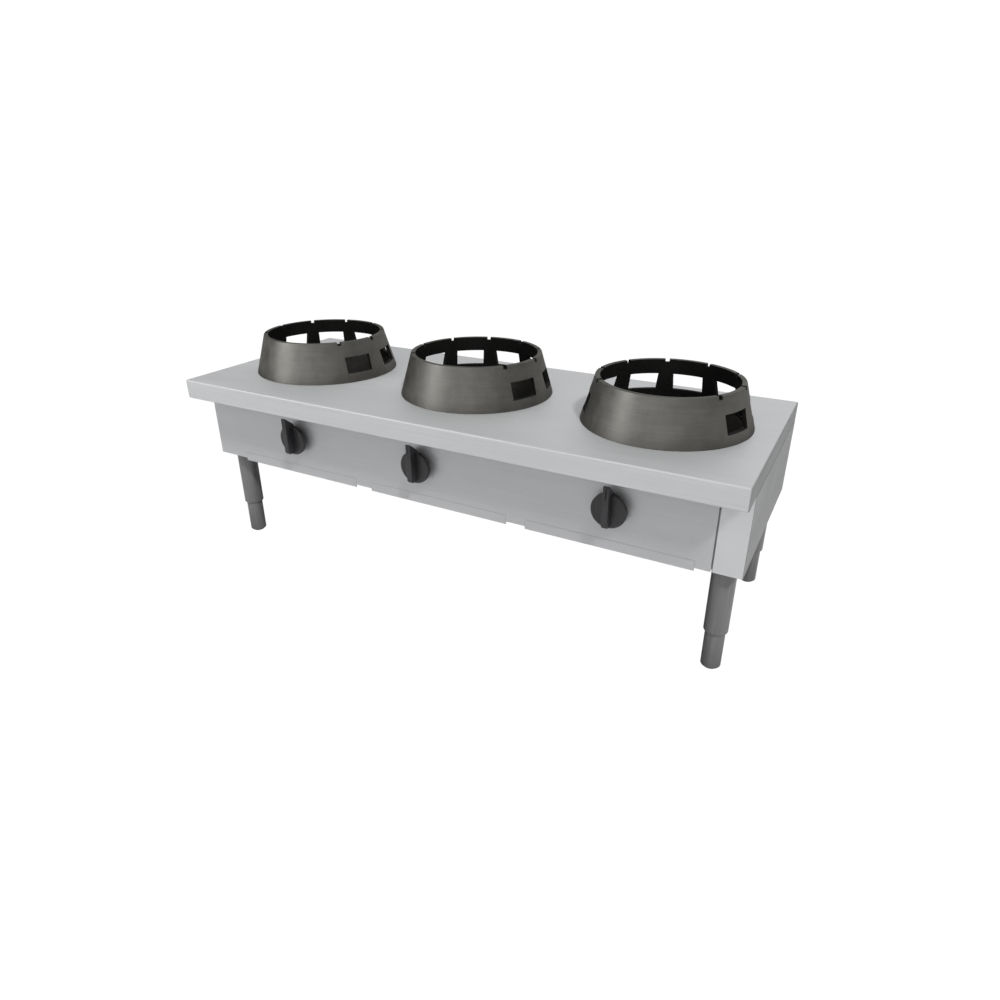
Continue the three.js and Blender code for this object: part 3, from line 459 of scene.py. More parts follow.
class Build:
    """Gathers the surfaces of one piece, in millimetres, and makes its object."""

    def __init__(self):
        self.verts, self.faces, self.slots, self.materials = [], [], [], []

    def use(self, material):
        """The faces added from here on take this material."""
        if material not in self.materials:
            self.materials.append(material)
        self.current = self.materials.index(material)
        return self

    def add(self, verts, faces, turn=UP, at=ORIGIN):
        start = len(self.verts)
        at = Vector(at)
        self.verts += [turn @ Vector(v) + at for v in verts]
        self.faces += [tuple(start + i for i in f) for f in faces]
        self.slots += [self.current] * len(faces)
        return self

    def lathe(self, points, sides, turn=UP, at=ORIGIN, closed=False):
        """Turned about its own Z axis, and then laid along the given one."""
        verts, rows = [], []
        for r, z in points:
            if r < 1e-6:
                rows.append([len(verts)] * sides)
                verts.append((0, 0, z))
            else:
                rows.append(list(range(len(verts), len(verts) + sides)))
                verts += [(r * math.cos(a), r * math.sin(a), z) for a in circle(sides)]
        faces = []
        for low, high in zip(rows, rows[1:] + rows[:1] if closed else rows[1:]):
            for i in range(sides):
                j = (i + 1) % sides
                quad = [low[i], low[j], high[j], high[i]]
                face = [v for k, v in enumerate(quad) if v != quad[k - 1]]
                if len(face) > 2:
                    faces.append(tuple(face))
        return self.add(verts, faces, turn, at)

    def prism(self, loops, turn=UP, at=ORIGIN):
        """Skin over closed outlines, each with its height, capped at both ends."""
        count = len(loops[0][0])
        verts = [(p[0], p[1], z) for outline, z in loops for p in outline]
        faces = [tuple(reversed(range(count)))]
        for row in range(len(loops) - 1):
            faces += band(row, count)
        faces.append(tuple(range((len(loops) - 1) * count, len(loops) * count)))
        return self.add(verts, faces, turn, at)

    def slab(self, outline, low, high, edge=0.0, base_edge=0.0, turn=UP, at=ORIGIN):
        """An upright slab with its upper and lower edges rounded by the two radii."""
        loops = [(outline, low)]
        if base_edge:
            loops = [(inset(outline, base_edge * (1 - math.sin(t))),
                      low + base_edge * (1 - math.cos(t))) for t in quarter(4)]
        if edge:
            loops += [(inset(outline, edge * (1 - math.cos(t))),
                       high - edge * (1 - math.sin(t))) for t in quarter(4)]
        else:
            loops.append((outline, high))
        return self.prism(loops, turn, at)

    def box(self, x0, x1, y0, y1, z0, z1, edge):
        outline = rounded(rectangle(x0, x1, y0, y1), edge, 2)
        return self.slab(outline, z0, z1, edge, edge)

    def hexagon(self, across, low, high, turn, at):
        """A nut or a bolt's head."""
        corner = across / math.sqrt(3)
        outline = [(corner * math.cos(math.pi / 3 * k), corner * math.sin(math.pi / 3 * k))
                   for k in range(6)]
        return self.slab(rounded(outline, 0.6, 2), low, high, 0.7, 0.4, turn, at)

    def tube(self, points, radius, sides):
        """A round pipe along a smooth path through the points."""
        path = curve_through(points)
        normal = None
        verts, faces = [], []
        for i, here in enumerate(path):
            ahead = (path[min(i + 1, len(path) - 1)] - path[max(i - 1, 0)]).normalized()
            if normal is None:
                normal = ahead.orthogonal().normalized()
            normal = (normal - ahead * normal.dot(ahead)).normalized()
            other = ahead.cross(normal)
            verts += [here + (normal * math.cos(a) + other * math.sin(a)) * radius
                      for a in circle(sides)]
        for row in range(len(path) - 1):
            faces += band(row, sides)
        last = (len(path) - 1) * sides
        faces += [tuple(reversed(range(sides))), tuple(range(last, last + sides))]
        return self.add(verts, faces)

    def make(self, name, body, slot, replaces=(), sharp=32.0):
        mesh = bpy.data.meshes.new(name)
        mesh.from_pydata([tuple(v * MM) for v in self.verts], [], self.faces)
        for material in self.materials:
            mesh.materials.append(material)
        mesh.polygons.foreach_set("material_index", self.slots)
        mesh.update()
        work = bmesh.new()
        work.from_mesh(mesh)
        bmesh.ops.recalc_face_normals(work, faces=work.faces)
        work.to_mesh(mesh)
        work.free()
        return add_piece(name, mesh, body, replaces, sharp)


def add_piece(name, mesh, body, replaces, sharp):
    """A smooth object that keeps creases over the sharp angle, tied to its body, with the nodes it
    replaces hidden.
    """
    mesh.shade_smooth()
    mesh.set_sharp_from_angle(angle=math.radians(sharp))
    piece = bpy.data.objects.new(name, mesh)
    scene.collection.objects.link(piece)
    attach(piece, body)
    if replaces:
        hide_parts(*replaces)
    return piece


def weigh_normals(piece, keep_sharp):
    normals = piece.modifiers.new("normals", "WEIGHTED_NORMAL")
    normals.keep_sharp = keep_sharp


def bevel_edges(piece, width_mm, segments, angle):
    bevel = piece.modifiers.new("edges", "BEVEL")
    bevel.width = width_mm * MM
    bevel.segments = segments
    bevel.limit_method = "ANGLE"
    bevel.angle_limit = math.radians(angle)
    weigh_normals(piece, False)


def dress(node, material, edge_mm):
    """A CAD node that keeps its shape: a better material, and its sheet edges broken."""
    piece = nodes[node]
    piece.data.materials.clear()
    piece.data.materials.append(material)
    weld = piece.modifiers.new("weld", "WELD")
    weld.merge_threshold = 0.00001
    bevel_edges(piece, edge_mm, 2, 30.0)


def corners(node):
    """The node's lowest and highest corners, in millimetres."""
    low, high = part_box(node)
    return low / MM, high / MM


def middle(node):
    low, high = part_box(node)
    return (low + high) / 2 / MM


# ------------------------ worktop


def make_worktop():
    """Pressed sheet with a nosing and three openings: one skin, thickened to its gauge."""
    low, high = corners("worktop")
    corner, edge, under, inner_lip, gauge = 5.0, 4.0, 2.4, 15.0, 1.8
    hole_edge = ((171.6, high.z), (171.1, high.z - 0.4), (171.0, high.z - 1.9))
    work = bmesh.new()

    def loop(distance, z):
        r = max(corner - distance, 0.4)
        x, y = high.x - distance, high.y - distance
        return [work.verts.new((p.x, p.y, z)) for p in rounded(rectangle(-x, x, -y, y), r, 6)]

    def hole(centre, radius, z):
        return [work.verts.new((centre.x + radius * math.cos(a),
                                centre.y + radius * math.sin(a), z)) for a in circle(96)]

    def skin(loops):
        for a, b in zip(loops, loops[1:]):
            for i in range(len(a)):
                j = (i + 1) % len(a)
                work.faces.new((a[i], a[j], b[j], b[i]))

    def edges_of(verts):
        return [work.edges.get((verts[i], verts[(i + 1) % len(verts)])) for i in range(len(verts))]

    levels = [(inner_lip, low.z)]
    levels += [(under * (1 - math.sin(t)), low.z + under * (1 - math.cos(t))) for t in quarter(5)]
    levels += [(edge * (1 - math.cos(t)), high.z - edge * (1 - math.sin(t))) for t in quarter(6)]
    nosing = [loop(*level) for level in levels]
    skin(nosing)
    deck_edges = edges_of(nosing[-1])
    for side in SIDES:
        centre = middle(f"burner_bowl_{side}")
        holes = [hole(centre, radius, z) for radius, z in hole_edge]
        skin(holes)
        deck_edges += edges_of(holes[0])
    bmesh.ops.triangle_fill(work, use_beauty=True, edges=deck_edges)
    bmesh.ops.recalc_face_normals(work, faces=work.faces)
    if sum(f.normal.z * f.calc_area() for f in work.faces) < 0:
        bmesh.ops.reverse_faces(work, faces=work.faces)
    bmesh.ops.scale(work, vec=(MM, MM, MM), verts=work.verts)
    mesh = bpy.data.meshes.new("worktop_sheet")
    work.to_mesh(mesh)
    work.free()
    mesh.materials.append(TOP)
    piece = add_piece("worktop_sheet", mesh, "range_body", ["worktop"], 25.0)
    sheet = piece.modifiers.new("gauge", "SOLIDIFY")
    sheet.thickness = gauge * MM
    sheet.offset = -1
    weigh_normals(piece, True)


# ------------------------ wok rings


def make_ring(side):
    """Thick cone with seven windows and eight rim notches, each cut straight through its wall.

    It is gunmetal outside and on its rim, and sooty inside, below and in the cuts; in the cuts the
    soot is also painted shade.
    """
    low, high = corners(f"wok_ring_{side}")
    cx, height = (low.x + high.x) / 2, high.z - low.z
    base, slope, wall = 196.0, 30.0 / 103.0, 11.0
    windows, pitch, end_window_turn = 7, 36.0, 3.0
    half_window, half_notch = 37.0, 5.0
    foot, sill, head, notch_depth = 2.0, 22.5, 64.5, 8.0
    facet = 2.2             # degrees, about, that one column spans
    rows = [0.0, foot, sill, head, height - notch_depth, height]
    window_row, notch_row = 2, 4

    cuts = []
    for k in range(windows + 1):
        cuts.append(("notch", 90.0 + pitch * (k - windows / 2), half_notch))
        if k < windows:
            extra = {0: -end_window_turn, windows - 1: end_window_turn}.get(k, 0.0)
            cuts.append(("window", 90.0 + pitch * (k - (windows - 1) / 2) + extra, half_window))
    marks = []
    for kind, centre, half in cuts:
        marks += [(kind, centre, -half), ("wall", centre, half)]
    columns = []
    for i, (kind, centre, half) in enumerate(marks):
        _, next_centre, next_half = marks[(i + 1) % len(marks)]
        if i + 1 == len(marks):
            next_centre += 360.0
        span = next_centre - centre + math.degrees((next_half - half) / base)
        steps = max(1, round(span / facet))
        columns += [(kind, centre, half, next_centre, next_half, k / steps) for k in range(steps)]
    count = len(columns)

    verts = []
    for depth in (0.0, wall):
        for z in rows:
            r = base - slope * z - depth
            for _, c0, h0, c1, h1, t in columns:
                start = math.radians(c0) + math.asin(h0 / r)
                end = math.radians(c1) + math.asin(h1 / r)
                a = start * (1 - t) + end * t
                verts.append((cx + r * math.cos(a), r * math.sin(a), low.z + z))

    def solid(row, i):
        kind = columns[i % count][0]
        return (0 <= row < len(rows) - 1
                and (kind, row) not in (("window", window_row), ("notch", notch_row)))

    inner = count * len(rows)
    outside, inside = [], []
    for row in range(len(rows) - 1):
        for i in range(count):
            if not solid(row, i):
                continue
            j = (i + 1) % count
            a, b = row * count, (row + 1) * count
            outside.append((a + i, a + j, b + j, b + i))
            inside.append((inner + a + j, inner + a + i, inner + b + i, inner + b + j))
            # A cut's faces take the inside's soot, which darkens them as painted shade as well as
            # soot.
            if not solid(row - 1, i):
                inside.append((a + j, a + i, inner + a + i, inner + a + j))
            if not solid(row + 1, i):
                top = outside if row == notch_row else inside
                top.append((b + i, b + j, inner + b + j, inner + b + i))
            if not solid(row, i - 1):
                inside.append((a + i, b + i, inner + b + i, inner + a + i))
            if not solid(row, i + 1):
                inside.append((b + j, a + j, inner + a + j, inner + b + j))
    shell = Build().use(RING).add(verts, outside).use(SOOT)
    shell.faces += inside
    shell.slots += [shell.current] * len(inside)
    piece = shell.make(f"ring_shell_{side}", f"ring_{side}", "ring_iron",
                       [f"wok_ring_{side}"], 25.0)
    bevel_edges(piece, 0.9, 3, 40.0)


# ------------------------ knobs


def make_knob(side):
    """Thin disc on a hub, with a wedge-ended bar across it as grip and pointer."""
    low, high = corners(f"knob_{side}")
    at = ((low.x + high.x) / 2, high.y, low.z + (high.x - low.x) / 2)
    hub, rim, disc_back, face, bevel = 22, 41, 11, 20, 0.8
    b = Build().use(KNOB)
    disc = profile(
        [(0, 0.2), (hub - bevel, 0), (hub, bevel), (hub, disc_back), (rim - bevel, disc_back),
         (rim, disc_back + bevel), (rim, face - 2), (rim - 2, face), (0, face)],
        [0, 0, 0, 1.5, 0, 0, 1.2, 1.6, 0])
    b.lathe(disc, 96, FORWARD, at)
    bead = [(35.0, face), (34.7, face + 0.3), (33.6, face + 0.35), (33.3, face)]
    b.lathe(bead, 96, FORWARD, at)

    front, tail, pointer = 42, -34, 69
    half_width, edge = 5.2, 1.8
    side_view = rounded([(12, tail), (front - 6, tail), (front, tail + 6), (front, pointer),
                         (12, 45)], 2.6, 4)
    loops = []
    for way in (-1, 1):
        rims = [(inset(side_view, edge * (1 - math.cos(t))),
                 way * (half_width + edge * math.sin(t))) for t in quarter(4)]
        loops += rims if way > 0 else rims[::-1]
    b.prism(loops, SIDEWAYS, at)
    groove = rounded(rectangle(-0.8, 0.8, 38.0, 66.5), 0.75, 3)
    b.use(MARK).prism([(groove, front - 0.5), (groove, front)], FORWARD, at)
    b.make(f"knob_grip_{side}", f"knob_{side}_body", "knob_plastic", [f"knob_{side}"], 30.0)


# ------------------------ legs


def make_leg(corner):
    """Tube with a floor for the foot's stud, a weld, and a plate with four bolts."""
    c = middle(f"leg_{corner}")
    low, high = corners(f"leg_{corner}")
    axis = (c.x, c.y, 0)
    tube, bore, stud_hole, floor = 27.0, 25.4, 8.6, low.z + 12
    plate_z, plate_gauge, plate_half, bolt_out = high.z - 10.1, 3, 30.0, 22.5
    b = Build().use(LEG)
    wall = profile(
        [(stud_hole, low.z), (tube, low.z), (tube, plate_z + 1), (bore, plate_z + 1),
         (bore, floor), (stud_hole, floor)], [0.6, 1.4, 0, 0, 0, 0])
    b.lathe(wall, 72, UP, axis, closed=True)
    weld = [(26.9, plate_z - 3.2), (27.8, plate_z - 2.2), (28.8, plate_z - 1.0), (29.6, plate_z)]
    b.lathe(weld, 72, UP, axis)
    plate = rounded(rectangle(c.x - plate_half, c.x + plate_half,
                              c.y - plate_half, c.y + plate_half), 5, 5)
    b.use(ZINC).slab(plate, plate_z, plate_z + plate_gauge, 0.4, 0.4)
    shank = [(3.0, plate_z - 2.0), (3.0, high.z - 3)]
    tip = [(0, plate_z - 2.2), (2.6, plate_z - 2.2), (3.0, plate_z - 1.8)]
    b.use(BOLT)
    for dx in (-bolt_out, bolt_out):
        for dy in (-bolt_out, bolt_out):
            at = (c.x + dx, c.y + dy, 0)
            b.lathe(shank, 20, UP, at).lathe(tip, 20, UP, at)
            b.hexagon(8.6, high.z - 4, high.z, UP, at)
    b.make(f"leg_tube_{corner}", "range_body", "leg_steel", [f"leg_{corner}"])


def make_foot(corner):
    """Turned foot with a shoulder below the leg, and its threaded stud."""
    c = middle(f"foot_{corner}")
    top = corners(f"foot_{corner}")[1].z
    axis = (c.x, c.y, 0)
    radius, shoulder, stud, root, pitch = 22.5, 98.7, 8.0, 7.3, 1.5
    body = profile(
        [(0, 0.4), (14.5, 0.4), (15.2, 0), (16.4, 0), (radius, 5.6), (radius, shoulder),
         (stud, shoulder)], [0, 0, 0, 1.0, 2.0, 1.0, 0])
    b = Build().use(LEG).lathe(body, 72, UP, axis)
    thread = [(stud, shoulder - 0.5)]
    z = shoulder
    while z < top - 3.5:
        thread += [(stud, z), (root, z + pitch / 2), (stud, z + pitch)]
        z += pitch
    thread += [(root, top - 1.2), (6.2, top), (0, top)]
    b.use(BOLT).lathe(thread, 32, UP, axis)
    b.make(f"foot_turned_{corner}", f"{corner}_foot", "leg_steel", [f"foot_{corner}"])


# ------------------------ burners


def make_bowl(side):
    """Pressed bowl that hangs by its flange in the deck's opening."""
    axis = (middle(f"burner_bowl_{side}").x, 0, 0)
    low, high = corners(f"burner_bowl_{side}")
    # Round the wall: over the flange, down the inside to the opening, and back up outside.
    points = [(182, high.z - 2), (182, high.z), (167.6, high.z), (88, low.z + 2), (50.6, low.z + 2),
              (50.6, low.z), (90, low.z), (169.8, high.z - 6), (169.8, high.z - 2)]
    wall = profile(points, [0.7, 0.9, 5, 9, 0.8, 0.8, 9, 2, 1.2])
    b = Build().use(BOWL).lathe(wall, 120, UP, axis, closed=True)
    b.make(f"bowl_pressed_{side}", "range_body", "bowl_steel", [f"burner_bowl_{side}"])


def make_cap(side):
    """Burner crown: a round wall with flame ports, a ribbed top, and the seat below."""
    axis = (middle(f"burner_cap_{side}").x, 0, 0)
    low, high = corners(f"burner_cap_{side}")
    radius, port_back, seat = 60, 52, low.z + 4.0
    ports, half_port, sill, port_height = 20, 2.4, 2.2, 7.0
    port_low, port_high, shoulder = seat + sill, seat + sill + port_height, high.z - 6.0
    pitch, half = 360.0 / ports, math.degrees(math.asin(half_port / radius))
    solid = pitch - 2 * half
    turns = (-half, half, half + solid * 0.25, half + solid * 0.5, half + solid * 0.75,
             pitch - half - 0.35)
    steps = len(turns)
    count = ports * steps
    rows = [seat, port_low, port_high, shoulder]
    port_row = 1
    verts = []
    for z in rows:
        for i in range(count):
            k, step = divmod(i, steps)
            a = math.radians(k * pitch + turns[step])
            verts.append((radius * math.cos(a), radius * math.sin(a), z))
    faces = []
    for row in range(len(rows) - 1):
        faces += [face for i, face in enumerate(band(row, count))
                  if row != port_row or i % steps]
    b = Build().use(IRON).add(verts, faces, UP, axis)
    port = [(r, y, z) for r in (radius - 0.1, port_back)
            for y, z in rectangle(-half_port, half_port, port_low, port_high)]
    port_faces = [(0, 1, 5, 4), (1, 2, 6, 5), (2, 3, 7, 6), (3, 0, 4, 7), (4, 5, 6, 7)]
    for a in circle(ports):
        b.use(SOOT).add(port, port_faces, Matrix.Rotation(a, 3, "Z"), axis)
    top = profile([(radius, shoulder), (48, high.z), (26, high.z), (22, high.z - 1.6),
                   (14, high.z - 1.6), (11, high.z - 0.2), (0, high.z - 0.2)],
                  [0, 3, 0.8, 0.8, 0.8, 0.8, 0])
    b.use(IRON).lathe(top, 120, UP, axis)
    below = [(radius, seat), (53.4, seat), (53.4, low.z), (49.4, low.z), (49.4, seat + 4),
             (0, seat + 6)]
    b.lathe(below, 96, UP, axis)
    b.make(f"burner_crown_{side}", "range_body", "burner_iron", [f"burner_cap_{side}"])


def make_burner(side):
    """Casting: a cup below the crown, the mixing tube's bell, the pad it stands on, and the
    two ribs that hold the injector's ring in the bell's mouth.
    """
    x = middle(f"burner_cap_{side}").x
    low, high = corners(f"burner_body_{side}")
    axis_z, mouth_y, head = low.z + 27.0, low.y, high.z - 22
    mouth = (x, mouth_y, axis_z)
    tube_low = axis_z - 20
    b = Build().use(IRON)
    cup = profile(
        [(0, tube_low), (24, tube_low), (30, tube_low + 6), (30, head - 14), (60, head),
         (60, high.z), (54, high.z), (54, head + 4), (24, head - 11), (24, tube_low + 8),
         (0, tube_low + 8)], [0, 2, 2, 6, 3, 0.8, 0.8, 3, 4, 3, 0])
    b.lathe(cup, 96, UP, (x, 0, 0))
    bell = profile([(20, 90), (20, 17), (26, 12), (26, 0), (22, 0), (22, 9), (16, 14), (16, 90)],
                   [0, 4, 3, 1.2, 1.2, 3, 3, 0])
    b.lathe(bell, 48, BACK, mouth)
    b.box(x - 16, x + 16, -26, 26, low.z, tube_low + 4, 1.5)
    for x0, x1 in ((x - 24, x - 8.4), (x + 8.4, x + 24)):
        b.box(x0, x1, mouth_y, mouth_y + 4, axis_z - 11, axis_z + 11, 0.8)
    b.lathe([(12.5, 0.1), (8.4, 0.1), (8.4, 3.9), (12.5, 3.9)], 32, BACK, mouth, closed=True)
    b.make(f"burner_casting_{side}", "range_body", "burner_iron", [f"burner_body_{side}"])


# ------------------------ gas train


def make_gas_lines():
    """The manifold, and the inlet's bend to its threaded end at the back panel."""
    pipe, bore = 13.45, 10.8
    low, high = corners("gas_manifold")
    y, z = (low.y + high.y) / 2, (low.z + high.z) / 2
    start, length = (low.x, y, z), high.x - low.x
    b = Build().use(PIPE)
    b.lathe(profile([(bore, 12), (pipe, 12), (pipe, length), (bore, length)],
                    [0.6, 0.6, 0.8, 0.8]), 48, ALONG_X, start, closed=True)
    b.hexagon(28.0, 0, 15, ALONG_X, start)
    b.make("manifold_pipe", "range_body", "gas_pipe", ["gas_manifold"])

    low, high = corners("gas_inlet")
    x, end_y = high.x - 15.11, high.y - 21
    bend = 34.0
    points = [(low.x, y, z)]
    points += [(x - bend + bend * math.sin(t), y + bend * (1 - math.cos(t)), z)
               for t in quarter(4)]
    points += [(x, y + 2 * bend, z), (x, end_y, z)]
    b = Build().use(PIPE).tube(points, pipe, 32)
    b.use(BRASS).hexagon(30.0, 0, 18, BACK, (x, high.y - 39, z))
    crest, root, pitch = 10.4, 9.6, 0.91
    thread = [(root, 0)]
    run = 0.5
    while run < 19.5:
        thread += [(crest, run + 0.45), (root, run + 0.9)]
        run += pitch
    thread += [(9.0, 21.0), (6.5, 21.0), (6.5, 4.0), (0, 4.0)]
    b.lathe(thread, 48, BACK, (x, end_y, z))
    b.make("inlet_pipe", "range_body", "gas_pipe", ["gas_inlet"])


def make_tap(side):
    """Tap: a turned nose round the spindle, the body, its rear cover and four screws."""
    low, high = corners(f"gas_valve_{side}")
    x, z = (low.x + high.x) / 2, (low.z + high.z) / 2
    nose = profile([(4.6, 0), (15, 0), (15, 9), (13.2, 9.6), (13.2, 14.4), (4.6, 14.4)],
                   [0.4, 1.2, 0.4, 0.4, 0, 0])
    b = Build().use(BRASS).lathe(nose, 48, BACK, (x, low.y, z), closed=True)
    b.box(x - 18, x + 18, low.y + 14, high.y - 6, z - 20, z + 20, 1.6)
    b.box(x - 13, x + 13, high.y - 7, high.y, z - 12, z + 12, 1.0)
    b.use(BOLT)
    screw = [(0, 1.4), (1.4, 1.6), (2.8, 1.1), (3.2, 0)]
    for dx in (-13, 13):
        for dz in (-14, 14):
            b.lathe(screw, 20, FORWARD, (x + dx, low.y + 14.1, z + dz))
    b.make(f"tap_body_{side}", "range_body", "valve_brass", [f"gas_valve_{side}"])


def make_feed(side):
    """Copper pipe from below the tap to the injector in the burner's mouth."""
    low, high = corners(f"gas_valve_{side}")
    tap, burner = (low.x + high.x) / 2, middle(f"burner_cap_{side}").x
    bar_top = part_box(f"burner_bar_{side}")[1].z / MM
    mouth_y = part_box(f"burner_body_{side}")[0].y / MM
    axis_z, feed_low = bar_top + 27.3, bar_top + 6.7
    nozzle, outlet = mouth_y - 20.3, low.y + 23
    points = [(tap, outlet, low.z - 0.3), (tap, outlet, feed_low + 6), (tap, outlet + 7, feed_low),
              ((tap + burner) / 2, outlet + 33, feed_low), (burner, nozzle - 12, feed_low + 2),
              (burner, nozzle - 3, feed_low + 8), (burner, nozzle - 1, axis_z - 5),
              (burner, nozzle + 4, axis_z), (burner, nozzle + 10, axis_z)]
    b = Build().use(COPPER).tube(points, 5, 16)
    b.use(BRASS).hexagon(19.0, 0, 14, BACK, (burner, mouth_y - 14.3, axis_z))
    injector = profile([(8, 0), (8, 11), (3, 11), (3, 18), (1, 18), (1, 10), (0, 10)],
                       [0, 0.5, 0, 0.6, 0, 0, 0])
    b.lathe(injector, 32, BACK, (burner, mouth_y - 3, axis_z))
    b.make(f"feed_pipe_{side}", "range_body", "copper_pipe", [f"gas_feed_{side}"])


def make_flame_lines(side):
    """The pilot's line on the left and the flame sensor's on the right, from tap to crown."""
    low, high = corners(f"gas_valve_{side}")
    tap, burner = (low.x + high.x) / 2, middle(f"burner_cap_{side}").x
    body_low, body_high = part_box(f"burner_body_{side}")
    mouth_y, head_z = body_low.y / MM, body_high.z / MM - 22
    floor_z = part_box(f"burner_bowl_{side}")[0].z / MM
    under, over, tap_y = floor_z - 7.5, high.z + 12, low.y + 28
    drain, tip = 29.0, 50.56
    for way, kind in ((-1, "pilot"), (1, "flame_sensor")):
        x0, x_drain, x_tip = tap + 9 * way, burner + way * drain, burner + way * tip
        points = [(x0, tap_y, high.z + 0.3), (x0, tap_y, high.z + 7), (x0, tap_y + 8, over),
                  (x0, tap_y + 24, over), (x_drain, mouth_y - 8, under + 2),
                  (x_drain, -drain - 18, under), (x_drain, -drain, floor_z - 2),
                  (burner + way * (drain + 7), -drain - 7, floor_z + 7),
                  (burner + way * (tip - 5), -tip + 5, floor_z + 13),
                  (x_tip, -tip, head_z + 4), (x_tip, -tip, head_z + 26)]
        b = Build().use(COPPER).tube(points, 2.4, 12)
        at = (x_tip, -tip, head_z + 24)
        if kind == "pilot":
            b.use(BRASS).hexagon(8.4, 0, 4, UP, at)
            jet = profile([(4.3, 4), (4.3, 14), (3.2, 14), (3.2, 8), (0, 8)], [0, 0.6, 0.6, 0, 0])
            b.use(SOOT).lathe(jet, 28, UP, at)
        else:
            b.use(BOLT).hexagon(8.0, 0, 4, UP, at)
            rod = profile([(3.6, 4), (3.6, 9.5), (1.6, 10), (1.4, 14), (0, 14)],
                          [0, 0.8, 0, 0.7, 0])
            b.use(CERAMIC).lathe(rod, 28, UP, at)
        b.make(f"{kind}_line_{side}", "range_body", "copper_pipe", [f"{kind}_{side}"])


# ------------------------ fasteners and seals


def make_back_screws():
    """Two rows of socketed screws along the back panel."""
    low, high = corners("back_panel")
    per_row, reach = 9, 718
    screw = [(5.4, 0), (5.4, 0.5), (5.0, 0.7), (3.9, 0.7), (3.8, 1.6), (2.9, 2.5), (1.3, 2.8),
             (1.2, 1.7), (0, 1.5)]
    b = Build().use(BOLT)
    for z in (low.z + 12, high.z - 14):
        for k in range(per_row):
            x = -reach + k * (2 * reach) / (per_row - 1)
            b.lathe(screw, 24, BACK, (x, high.y, z))
    b.make("back_panel_screws", "range_body", "stainless_panel")


def make_seal():
    """Thin strips that close the gap beside the cheek and those beside the trays from behind."""
    low, high = corners("front_panel")
    cheek = corners("side_panel_right")[0].x
    thickness, behind_cheek_gap, behind_lip_gap = 0.2, low.y + 9.05, low.y + 1.55
    below_nosing = 450.0
    strips = [(high.x - 3, cheek + 3, behind_cheek_gap, below_nosing)]
    for side in SIDES:
        left, right = corners(f"drip_tray_{side}")
        top = right.z - 2.0
        strips += [(left.x - 4, left.x + 7, behind_lip_gap, top),
                   (right.x - 7, right.x + 4, behind_lip_gap, top)]
    b = Build().use(PANEL)
    for x0, x1, y, top in strips:
        b.slab(rectangle(x0, x1, y, y + thickness), low.z + 0.2, top)
    b.make("gap_seal", "range_body", "stainless_panel")


# ------------------------ the range

make_worktop()
for side in SIDES:
    make_ring(side)
    make_knob(side)
    make_bowl(side)
    make_cap(side)
    make_burner(side)
    make_tap(side)
    make_feed(side)
    make_flame_lines(side)
    dress(f"drip_tray_{side}", TRAY, 0.25)
    dress(f"burner_bar_{side}", ZINC, 0.5)
    dress(f"valve_spindle_{side}", BRASS, 0.3)
for corner in CORNERS:
    make_leg(corner)
    make_foot(corner)
make_gas_lines()
make_back_screws()
make_seal()
dress("front_panel", PANEL, 0.25)
dress("back_panel", PANEL, 0.45)
for end in ("left", "right"):
    dress(f"side_panel_{end}", SIDE, 0.45)
    dress(f"side_member_{end}", ZINC, 0.5)
    dress(f"tray_runner_{end}", ZINC, 0.4)
    dress(f"manifold_bracket_{end}", ZINC, 0.4)
dress("front_rail", ZINC, 0.5)
dress("rear_rail", ZINC, 0.5)

# ------------------------ stage, light and camera

# The camera sees a white floor. In the light it throws, it is grey, with painted shade below the
# range that makes it near black there, which brings the front legs nearer the photograph's tone.
FLOOR_GREY, FLOOR_PAINTED_SHADE = (0.66, 0.66, 0.66), (0.06, 0.06, 0.06)
BELOW_X, BELOW_Y = (0.66, 0.90), (0.12, 0.36)       # metres, where one turns into the other

# The studio's brightness by direction. Each row multiplies it by a factor that goes from the
# first to the second value as the direction passes the two places along the axis.
STUDIO = (
    ("Z", (0.0, 1.0), (0.38, 0.95)),        # brighter overhead
    ("X", (0.2, 0.85), (1.0, 0.35)),        # dimmer at the right
    ("X", (-0.2, -0.85), (1.0, 0.30)),      # and at the left
    ("Y", (0.6, 0.95), (1.0, 1.4)),         # brighter behind
    ("Y", (-0.3, -0.85), (1.0, 1.7)),       # and in front
)
KEY_TOWARD, KEY_POWER, KEY_ANGLE = (110, -80, 160), 2.7, 7
FILL_PLACE, FILL_AIM = Vector((-2.6, -2.9, 2.0)), Vector((0, 0, 0.4))
FILL_SIZE, FILL_POWER = (1.2, 2.4), 50.0

# Solved from the photograph's perspective.
CAMERA_PLACE, CAMERA_LENS = (0.9007, -1.5370, 1.0370), 25.383
CAMERA_TILT, CAMERA_TURN = 64.484, 28.457


def white_to_camera(tree, shader, output):
    """Pure white where the camera sees it, and the given shader for the light it throws."""
    path = tree.nodes.new("ShaderNodeLightPath")
    white = tree.nodes.new("ShaderNodeEmission")
    white.inputs["Strength"].default_value = 1.03      # enough that no pixel falls short of white
    mix = tree.nodes.new("ShaderNodeMixShader")
    tree.links.new(path.outputs["Is Camera Ray"], mix.inputs["Fac"])
    tree.links.new(shader, mix.inputs[1])
    tree.links.new(white.outputs["Emission"], mix.inputs[2])
    tree.links.new(mix.outputs["Shader"], output.inputs["Surface"])


